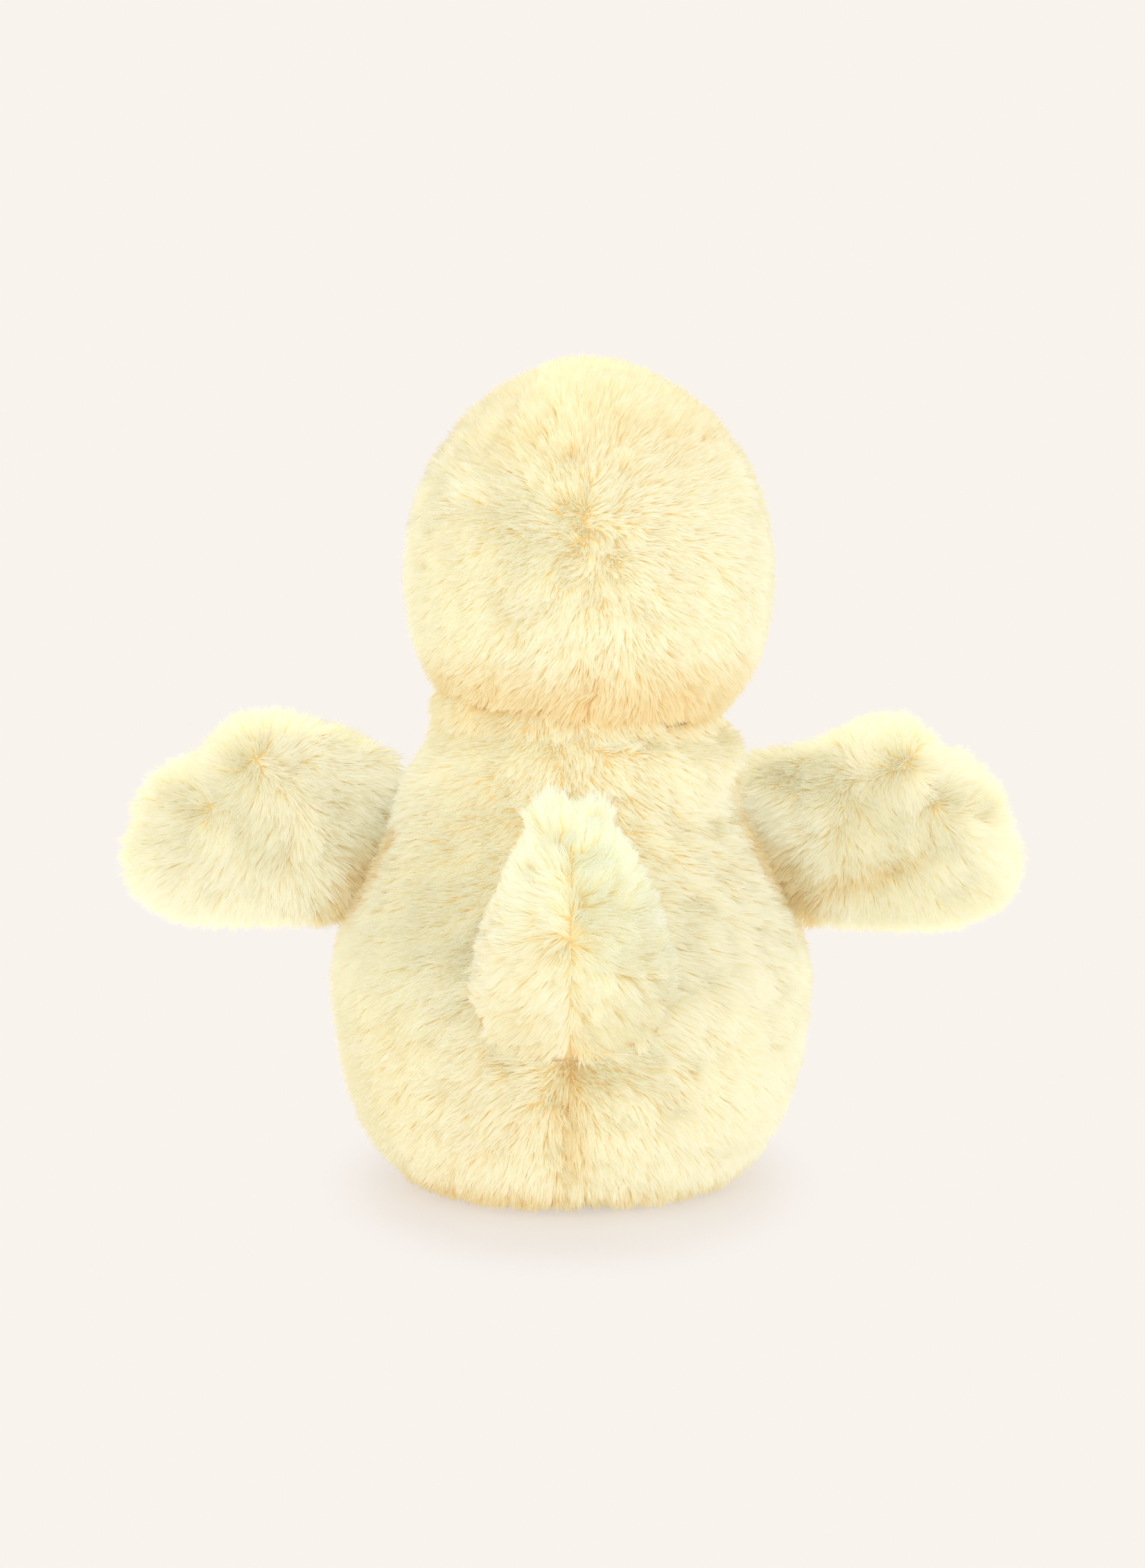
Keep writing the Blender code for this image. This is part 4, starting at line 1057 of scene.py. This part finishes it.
def lathe(name, profile, sides, place, axis):
    """A closed shape turned about an axis. The profile runs from the front inwards as (radius, depth)."""
    made = bmesh.new()
    turn = (-axis).to_track_quat("Z", "Y").to_matrix()
    rings = []
    for radius, depth in profile:
        around = [math.tau * step / sides for step in range(sides)] if radius else [0.0]
        spots = [Vector((radius * math.cos(a), radius * math.sin(a), depth)) for a in around]
        rings.append([made.verts.new(place + turn @ spot) for spot in spots])
    for front, back in zip(rings, rings[1:]):
        for step in range(sides):
            after = (step + 1) % sides
            corners = [front[step % len(front)], front[after % len(front)]]
            corners += [back[after % len(back)], back[step % len(back)]]
            made.faces.new(list(dict.fromkeys(corners)))
    bmesh.ops.recalc_face_normals(made, faces=made.faces)
    mesh = bpy.data.meshes.new(name)
    made.to_mesh(mesh)
    made.free()
    return mesh


def eye_roughness(graph):
    return grain(graph, 700.0, 3.0) * 0.10 + 0.03


def eye_colour(graph):
    return graph.mix(grain(graph, 350.0, 2.0), EYE_DARK, EYE_LIGHT)


polished_black = finish_of("polished_black", eye_colour, eye_roughness, Coat_Weight=0.4, Coat_Roughness=0.05)
moulded_white = finish_of("moulded_white", mottled(WASHER_WHITE, 500.0, 3.0), 0.5)
for eye_side, sign in (("left", 1), ("right", -1)):
    axis = Vector((sign * math.sin(EYE_TURN), -math.cos(EYE_TURN), 0.0))
    rows = coordinates(merged_copy(f"{eye_side}_eye"))
    depths = rows @ np.array(axis)
    middle = Vector(rows.mean(axis=0))
    front = middle + axis * (depths.max() - middle.dot(axis))
    angles = [math.pi / 2 * step / 12 for step in range(13)]
    profile = [(EYE_RADIUS * math.sin(a), EYE_HEIGHT * (1 - math.cos(a))) for a in angles]
    profile += [(EYE_RADIUS - DOME_EDGE, EYE_HEIGHT + DOME_EDGE), (SHANK_RADIUS, EYE_HEIGHT + DOME_EDGE)]
    end = depths.max() - depths.min()
    pitch = (end - EYE_HEIGHT - 2 * DOME_EDGE) / SHANK_RIBS
    for rib in range(SHANK_RIBS):
        start = EYE_HEIGHT + 2 * DOME_EDGE + rib * pitch
        profile += [(SHANK_RADIUS * 0.86, start), (SHANK_RADIUS, start + pitch * 0.8)]
    profile += [(SHANK_RADIUS * 0.7, end), (0.0, end)]
    dome = lathe(f"{eye_side}_eye_dome", profile, EYE_SIDES, front, axis)
    dome.materials.append(polished_black)
    dome.shade_smooth()
    dome.set_sharp_from_angle(angle=math.radians(40))
    piece = shown(f"{eye_side}_eye_dome", dome)
    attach(piece, "head")
    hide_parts(f"{eye_side}_eye")
    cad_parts[f"{eye_side}_eye_washer"].material_slots[0].material = moulded_white

# Bill
# Two halves of orange short-napped felt, sewn together along the mouth line, lightly stuffed and sewn
# to the head. None of it shows in the photograph, so its shape is that of such toys.
FELT_THICKNESS = 0.0011
BILL_VOXEL = 0.0008
BILL_SWELL = 0.0010
NAP_LENGTH = 0.0011
NAP_WIDTH = 0.00016
NAPS = 1.5e7
FELT_PRESSURE = 120.0
FELT = ("#d98a3c", "#eda255")
FELT_TONE = 0.55
MOUTH_SHADE, MOUTH_PILE = 0.4, 0.4
NAP_DEPTH = 0.0005  # of the felt below the brushed nap's surface
MOUTH_DEPTH = 0.0005
MOUTH_HELD, MOUTH_REACH = 0.0009, 0.0007
BILL_ROOT = (-0.001, 0.003)  # distances in from the head's front, where the bill is sewn on


felt_grain = rough(0.6, 0.0002, 1800.0, 3.0)
felt = finish_of("orange_felt", mottled(FELT, 1100.0, 3.0), 0.9, Normal=felt_grain, Sheen_Weight=0.2)
orange = strand_colour(
    ((0.0, "#cf7f34"), (0.5, "#e59a4c"), (1.0, "#efb06a")),
    ((0.0, "#d98b40"), (0.5, "#eda75c"), (1.0, "#f5be80")),
)
felt_nap = finish_of("felt_nap", orange, 0.9, Specular_IOR_Level=0.1)


def sew_felt(name, mesh, body, node_name):
    """A felt panel and its brushed nap."""
    sew_panel(f"{name}_felt", mesh, body, node_name, felt, FELT_THICKNESS)
    short = {"Finish": felt_nap, "Strands": NAPS, "Length": NAP_LENGTH, "Width": NAP_WIDTH}
    loose = {"Tuft_spacing": 0.0012, "Tuft_draw": 0.3, "Stray": 0.3, "Wander": 0.6}
    grow_pile(f"{name}_nap", mesh, body, "felt", Rise=0.75, Lay=0.5, **short, **loose)


bill_form = stuffed_form(BILL_VOXEL, "bill_top", "bill_underside", "bill_stuffing")
points = coordinates(bill_form)
muzzle = centre[1] - head_radius
at_root = ramp(points[:, 1], *(muzzle + depth for depth in BILL_ROOT))
at_mouth = bell(points[:, 2] - mouth, MOUTH_HELD)
stuffed_by_cloth(bill_form, np.maximum(at_root, at_mouth), BILL_SWELL, FELT_PRESSURE)
points, facing = coordinates(bill_form), normals(bill_form)
at_mouth = bell(points[:, 2] - mouth, MOUTH_REACH) * (1 - at_root)
points = points - facing * (NAP_DEPTH + MOUTH_DEPTH * at_mouth)[:, None]
points = over_filling(points, "bill_stuffing", FILLING_MARGIN)
coordinates(bill_form, points)
forward = np.tile([0.0, -1.0, 0.0], (len(points), 1))
comb(bill_form, forward, 1 - at_root, 1 - MOUTH_PILE * at_mouth, FELT_TONE - MOUTH_SHADE * at_mouth)
for name, sign in (("top", 1), ("underside", -1)):
    piece = panel(f"bill_{name}", bill_form, (2, sign, mouth))
    sew_felt(f"bill_{name}", piece, "head", f"bill_{name}")

# Wings
# A back and a front skin each, sewn round their edge and stuffed to a pad of three lobes. Two stitches
# through the left pad and three through the right gather it, and the nap fans out from them.
WING_VOXEL = 0.0015
WING_PILE_DEPTH = 0.0022
WING_SWELL = 0.0006
WING_PRESSURE = PRESSURE * 3
WING_RIM = (0.1, 0.4)  # how far a face turns to the back or front between the rim and the pad
WING_ROOT_HELD = (0.046, 0.050)  # distances aside between which the root lets go of the skins
# Each gather is (place aside, height, strength).
GATHERS = {
    "left": ((0.0668, 0.0930, 1.0), (0.0775, 0.0820, 0.6)),
    "right": ((-0.0724, 0.0940, 1.0), (-0.0859, 0.0793, 1.0), (-0.0771, 0.0823, 0.6)),
}
GATHER_DEPTH = 0.0012
GATHER_PULL, GATHER_PULL_REACH, DIMPLE_REACH, FAN_REACH = 1.8, 0.0090, 0.0028, 0.0110
# The right wing's upper edge rises to a peak and dips beside it, each (place aside, lift, reach).
PEAK, DIP, PEAK_HEIGHTS = (-0.0785, 0.0028, 0.0075), (-0.0525, 0.0036, 0.0095), (0.078, 0.092)
FOLD = ((-0.0425, 0.0668), (-0.0485, 0.0646), (-0.0624, 0.0674), (-0.0715, 0.0720), (-0.0765, 0.0795))
FOLD_DEPTH, FOLD_WIDTH = 0.0004, 0.0034
PAD_MIDDLE = (0.068, 0.076)
PAD_NAP, PAD_NAP_START = 1.3, (0.006, 0.020)  # out from the pad's middle
ROOT_NAP_OUT, WING_NAP_DOWN, ROOT_NAP_DOWN = 0.55, 0.45, 1.2
BELOW_GATHER = (-0.002, 0.004)
WING_LUMPS = 0.012
WING_ROOT, WING_TIP = 0.040, 0.090
ROOT_NAP = (0.048, 0.064)
# Distances from the body, and heights of the armpit's painted shade and of the painted light on the upper
# half.
NEAR_BODY, WING_ARMPIT, TOP_LIGHT_HEIGHTS = (0.0042, 0.0090), (0.068, 0.086), (0.070, 0.084)
WING_TONE = {"plain": 0.70, "tip": 0.10, "fan": 0.20, "shaded": -1.0, "gathers": -0.03}
WING_TONE |= {"lumps": 0.03, "upper": 0.16}
ARMPIT_SHADE, FOLD_SHADE = 0.46, 0.32
WING_PILE = {"plain": 1.05, "tip": 0.15, "fan": 0.60}
WING_DENTS = {"gathers": -0.15, "body": 0.25, "fold": -0.25}
WING_STRANDS, WING_STRAND_WIDTH = STRANDS * 2.0, STRAND_WIDTH * 0.9

for side_name, gathers in GATHERS.items():
    body = f"{side_name}_wing"
    skins = (f"{body}_back_skin", f"{body}_front_skin", f"{body}_stuffing")
    wing_form = stuffed_form(WING_VOXEL, *skins, rounds=5)
    sunk_backing(wing_form, WING_PILE_DEPTH)
    outward = 1.0 if side_name == "left" else -1.0
    points, facing = coordinates(wing_form), normals(wing_form)
    rim = 1 - ramp(abs(facing[:, 1]), *WING_RIM)
    held = np.maximum(rim, under(abs(points[:, 0]), *WING_ROOT_HELD))
    stuffed_by_cloth(wing_form, held, WING_SWELL, WING_PRESSURE)
    points, facing = coordinates(wing_form), normals(wing_form)
    if side_name == "right":
        lift = PEAK[1] * bell(points[:, 0] - PEAK[0], PEAK[2]) - DIP[1] * bell(points[:, 0] - DIP[0], DIP[2])
        points[:, 2] += lift * ramp(points[:, 2], *PEAK_HEIGHTS)
    far_out = np.clip((abs(points[:, 0]) - WING_ROOT) / (WING_TIP - WING_ROOT), 0, 1)
    root = 1 - ramp(abs(points[:, 0]), *ROOT_NAP)
    from_middle = points - np.array([PAD_MIDDLE[0] * outward, 0.0, PAD_MIDDLE[1]])
    from_middle[:, 1] = 0.0
    from_middle[:, 2] -= ROOT_NAP_DOWN * root * np.maximum(from_middle[:, 2], 0)
    wind = flow(ROOT_NAP_OUT * outward * (1 - root), 0.0, -WING_NAP_DOWN)
    off_middle = ramp(np.linalg.norm(from_middle, axis=1), *PAD_NAP_START)
    wind += unit(from_middle) * (PAD_NAP * off_middle)[:, None]
    dimple, fan = np.zeros(len(points)), np.zeros(len(points))
    for gather_x, gather_z, strength in gathers:
        arm = points - np.array([gather_x, 0.0, gather_z])
        arm[:, 1] = 0.0
        far = np.linalg.norm(arm, axis=1)
        wind += unit(arm) * (GATHER_PULL * strength * bell(far, GATHER_PULL_REACH))[:, None]
        dimple = np.maximum(dimple, strength * bell(far, DIMPLE_REACH))
        fan = np.maximum(fan, strength * bell(far, FAN_REACH) * ramp(-arm[:, 2], *BELOW_GATHER))
    fold = np.zeros(len(points))
    if side_name == "right":
        fold = bell(distance_to_path(points, FOLD), FOLD_WIDTH) * (points[:, 1] > 0)
    points = points - facing * (GATHER_DEPTH * dimple + FOLD_DEPTH * fold)[:, None]
    coordinates(wing_form, points)
    at_body = under(distance_to(points, "body_left_panel", "body_right_panel"), *NEAR_BODY)
    armpit = under(points[:, 2], *WING_ARMPIT) * at_body
    fields = {"tip": far_out, "fan": fan}
    pile = weighed(WING_PILE, **fields) * scaled(WING_DENTS, gathers=dimple, body=at_body, fold=fold)
    fields |= {"shaded": np.maximum(ARMPIT_SHADE * armpit, FOLD_SHADE * fold), "gathers": dimple}
    # Paler on the upper half: painted light from above.
    fields |= {"lumps": lumps(points, WING_LUMPS, 31), "upper": ramp(points[:, 2], *TOP_LIGHT_HEIGHTS)}
    tone = weighed(WING_TONE, **fields)
    comb(wing_form, wind, np.ones(len(points)), pile, tone)
    for skin, sign in (("back", 1), ("front", -1)):
        piece = panel(f"{body}_{skin}", wing_form, (1, sign, 0.0))
        sew_panel(f"{body}_{skin}_cloth", piece, body, f"{body}_{skin}_skin")
        dense = {"Strands": WING_STRANDS, "Wander": 0.5, "Width": WING_STRAND_WIDTH}
        grow_pile(f"{body}_{skin}_pile", piece, body, **dense)

# Feet
# A top and a sole of the bill's felt each, sewn round three toes and stuffed. Two rows of stitches
# through the pad part the toes.
FOOT_VOXEL = 0.0009
FOOT_SWELL = 0.0012
FOOT_SPLAY = math.radians(28)
HEEL_REACH = 0.028  # from the toe tips back to the heel
ROW_HEEL, ROW_TOE, ROW_REACH = 0.0022, 0.0066, 0.024  # a row's distance aside at both ends, and its run
ROW_START, ROW_LENGTH, ROW_STEPS = 0.003, 0.0205, 12
GROOVE_DEPTH, GROOVE_WIDTH, GROOVE_FADE = 0.0008, 0.0009, 0.004
RIM_DEPTH, RIM_WIDTH = 0.0004, 0.0008
FOOT_NAP_DEPTH = 0.0004
HEEL_HALF = 0.002  # of the stretch over which the root's hold fades
FLOOR_CLEARANCE = 0.0006
FOOT_MARGIN = 0.0003
GROOVE_BARE, GROOVE_PILE, GROOVE_SHADE, RIM_SHADE = 0.7, 0.4, 0.45, 0.2
STITCH_LENGTH = 0.0019
STITCH_SPACING = 0.0027
STITCH_RISE = 0.0002  # of its middle over the felt
THREAD = 0.00022
THREAD_SIDES = 8
THREAD_ORANGE = ("#b9641f", "#cf7a30")


def stitch_tree(stitch):
    """Sets a stitch at even steps along a path, turned the way the path runs."""
    sockets = {"Path": "Geometry", "Spacing": "Float", "Finish": "Material"}
    g, (path, spacing, finish) = new_tree("stitches", sockets, "Stitches")
    curve = g.node("GeometryNodeMeshToCurve", {}, {"Mesh": path})
    curve = g.node("GeometryNodeResampleCurve", {"mode": "LENGTH"}, {"Curve": curve, "Length": spacing})
    points = g.node("GeometryNodeCurveToPoints", {"mode": "EVALUATED"}, {"Curve": curve})
    turn = g.node("FunctionNodeAlignRotationToVector", {"axis": "X"}, {"Vector": points.other("Tangent")})
    shape = g.node("GeometryNodeObjectInfo", {}, {"Object": stitch}).other("Geometry")
    inputs = {"Points": points, "Instance": shape, "Rotation": turn}
    made = g.node("GeometryNodeInstanceOnPoints", {}, inputs)
    made = g.node("GeometryNodeRealizeInstances", {}, {"Geometry": made})
    made = g.node("GeometryNodeSetMaterial", {}, {"Geometry": made, "Material": finish})
    g.node("NodeGroupOutput", {}, {"Stitches": made})
    return g.tree


thread = finish_of("orange_thread", mottled(THREAD_ORANGE, 3000.0, 2.0), 0.7)
half = STITCH_LENGTH / 2
bend = [(0.0, -half), (THREAD * 0.7, -half * 0.92), (THREAD, -half * 0.6), (THREAD, 0.0)]
bend += [(THREAD, half * 0.6), (THREAD * 0.7, half * 0.92), (0.0, half)]
stitch = shown("stitch", lathe("stitch", bend, THREAD_SIDES, Vector(), Vector((-1.0, 0.0, 0.0))))
stitch_nodes = stitch_tree(stitch)

for side_name, sign in (("left", 1), ("right", -1)):
    body = f"{side_name}_foot"
    toes = Vector((sign * math.sin(FOOT_SPLAY), -math.cos(FOOT_SPLAY), 0.0))
    aside = Vector((0.0, 0.0, 1.0)).cross(toes)
    foot_form = stuffed_form(FOOT_VOXEL, f"{body}_top", f"{body}_sole", f"{body}_stuffing")
    points = coordinates(foot_form)
    edge = seam_between(2, f"{body}_sole", f"{body}_top")
    forwards = points @ np.array(toes)
    tip = forwards.max()
    across = points @ np.array(aside)
    across -= (across.max() + across.min()) / 2
    shift = (points @ np.array(aside)).max() - across.max()
    heel = tip - HEEL_REACH
    row = ROW_HEEL + (ROW_TOE - ROW_HEEL) * np.clip((forwards - heel) / ROW_REACH, 0, 1)
    between = bell(abs(across) - row, GROOVE_WIDTH) * ramp(forwards, heel, heel + GROOVE_FADE)
    rim = bell(points[:, 2] - edge, RIM_WIDTH)
    at_root = under(forwards, heel - HEEL_HALF, heel + HEEL_HALF)
    stuffed_by_cloth(foot_form, np.max([between, rim, at_root], axis=0), FOOT_SWELL, FELT_PRESSURE)
    points, facing = coordinates(foot_form), normals(foot_form)
    groove = np.maximum(GROOVE_DEPTH * between * (1 - rim), RIM_DEPTH * rim * (1 - at_root))
    points = points - facing * (FOOT_NAP_DEPTH + groove)[:, None]
    held = over_filling(points, f"{body}_stuffing", FOOT_MARGIN)
    points += (held - points) * ramp(forwards, heel + HEEL_HALF, heel + 3 * HEEL_HALF)[:, None]
    points[:, 2] = np.maximum(points[:, 2], FLOOR_CLEARANCE)
    coordinates(foot_form, points)
    forward = np.tile(np.array(toes), (len(points), 1))
    tone = FELT_TONE - GROOVE_SHADE * between - RIM_SHADE * rim
    comb(foot_form, forward, 1 - GROOVE_BARE * between, 1 - GROOVE_PILE * between, tone)
    surface = tree_of(foot_form)
    for skin, up in (("top", 1), ("sole", -1)):
        piece = panel(f"{body}_{skin}", foot_form, (2, up, edge))
        sew_felt(f"{body}_{skin}", piece, body, f"{body}_{skin}")
    rows = bmesh.new()
    for hand in (1, -1):
        before = None
        for step in range(ROW_STEPS + 1):
            reach = heel + ROW_START + ROW_LENGTH * step / ROW_STEPS
            off = ROW_HEEL + (ROW_TOE - ROW_HEEL) * min(1.0, (reach - heel) / ROW_REACH)
            spot = toes * reach + aside * (shift + hand * off)
            hit = surface.ray_cast(Vector((spot.x, spot.y, HEEL_REACH)), Vector((0.0, 0.0, -1.0)))[0]
            if hit is None:
                continue
            vert = rows.verts.new(hit + Vector((0.0, 0.0, STITCH_RISE)))
            if before:
                rows.edges.new((before, vert))
            before = vert
    path = bpy.data.meshes.new("toe_rows")
    rows.to_mesh(path)
    rows.free()
    made = with_nodes(path, stitch_nodes, {"Spacing": STITCH_SPACING, "Finish": thread})
    made.shade_smooth()
    piece = shown(f"{body}_stitches", made)
    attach(piece, body)

bpy.data.objects.remove(strand)
bpy.data.objects.remove(stitch)

# Floor, light and camera
# A pale sweep under soft light from all round, seen from behind and a little above, as in the photograph.
BACKDROP = "#f9f3ee"
NEAR_SHARE = 0.5  # of the plain backdrop in what the camera sees of the floor by the toy
PIXELS_PER_METRE = 6800.0
IMAGE_HEIGHT = 2262
SENSOR = 36.0
LENS = 100.0
ELEVATION = math.radians(9)
AIM = Vector((-0.0004, 0.0, 0.0860))
SKY = 0.60
FLOOR_WHITE = "#f6f2f1"
FLOOR_NEAR, FLOOR_FAR = 0.054, 0.084  # between which the floor turns into plain backdrop
FLOOR_OVAL = 1.5  # how much sooner it does so to both sides
LAMP_SIZE, LAMP_DISTANCE, LAMP_ELEVATION = 0.64, 1.2, math.radians(12)
LAMP_POWER, FRONT_POWER, BACK_POWER = 1.85, 2.6, 3.7


def seen_straight(graph):
    """1 for what the camera sees, straight or in metal or glass."""
    rays = graph.node("ShaderNodeLightPath")
    through = graph.math("MAXIMUM", rays.other("Is Glossy Ray"), rays.other("Is Transmission Ray"))
    return graph.math("MAXIMUM", rays, through)


world = bpy.data.worlds.new("studio")
bpy.context.scene.world = world
world.use_nodes = True
world.node_tree.nodes.clear()
g = Graph(world.node_tree)
lit = g.node("ShaderNodeBackground", {}, {"Color": (1.0, 1.0, 1.0), "Strength": SKY})
plain = g.node("ShaderNodeBackground", {}, {"Color": linear(BACKDROP), "Strength": 1.0})
mixed = g.node("ShaderNodeMixShader", {}, {0: seen_straight(g), 1: lit, 2: plain})
g.node("ShaderNodeOutputWorld", {}, {0: mixed})

bpy.ops.mesh.primitive_circle_add(vertices=96, radius=6.0, fill_type="NGON")
floor = bpy.context.object
floor.name = "floor"
surface = bpy.data.materials.new("pale_floor")
surface.use_nodes = True
surface.node_tree.nodes.clear()
g = Graph(surface.node_tree)
away = g.vector("MULTIPLY", g.node("ShaderNodeTexCoord").other("Object"), (FLOOR_OVAL, 1.0, 1.0))
away = g.vector("LENGTH", away).other("Value")
reach = {"Value": away, "From Min": FLOOR_NEAR, "From Max": FLOOR_FAR, "To Min": NEAR_SHARE, "To Max": 1.0}
far = g.node("ShaderNodeMapRange", {"interpolation_type": "SMOOTHSTEP"}, reach)
matt = g.node("ShaderNodeBsdfDiffuse", {}, {"Color": linear(FLOOR_WHITE)})
glow = g.node("ShaderNodeEmission", {}, {"Color": linear(BACKDROP), "Strength": 1.0})
mixed = g.node("ShaderNodeMixShader", {}, {0: seen_straight(g) * far, 1: matt, 2: glow})
g.node("ShaderNodeOutputMaterial", {}, {0: mixed})
floor.data.materials.append(surface)


def placed(name, data, azimuth, elevation, distance):
    """A lamp or camera that looks at the toy. The azimuth is 0 at its front."""
    made = bpy.data.objects.new(name, data)
    bpy.context.scene.collection.objects.link(made)
    flat = math.cos(elevation)
    back = Vector((math.sin(azimuth) * flat, -math.cos(azimuth) * flat, math.sin(elevation)))
    made.location = AIM + back * distance
    made.rotation_mode = "QUATERNION"
    made.rotation_quaternion = (-back).to_track_quat("-Z", "Y")
    return made


for azimuth in range(0, 360, 45):
    light = bpy.data.lights.new(f"lamp_{azimuth}", "AREA")
    light.shape = "DISK"
    light.size = LAMP_SIZE
    light.energy = {0: FRONT_POWER, 180: BACK_POWER}.get(azimuth, LAMP_POWER)
    placed(f"lamp_{azimuth}", light, math.radians(azimuth), LAMP_ELEVATION, LAMP_DISTANCE)

camera_data = bpy.data.cameras.new("camera")
camera_data.lens, camera_data.sensor_width = LENS, SENSOR
distance = LENS / SENSOR * IMAGE_HEIGHT / PIXELS_PER_METRE
camera = placed("camera", camera_data, math.pi, ELEVATION, distance)
bpy.context.scene.camera = camera
bpy.context.scene.view_settings.view_transform = "Standard"
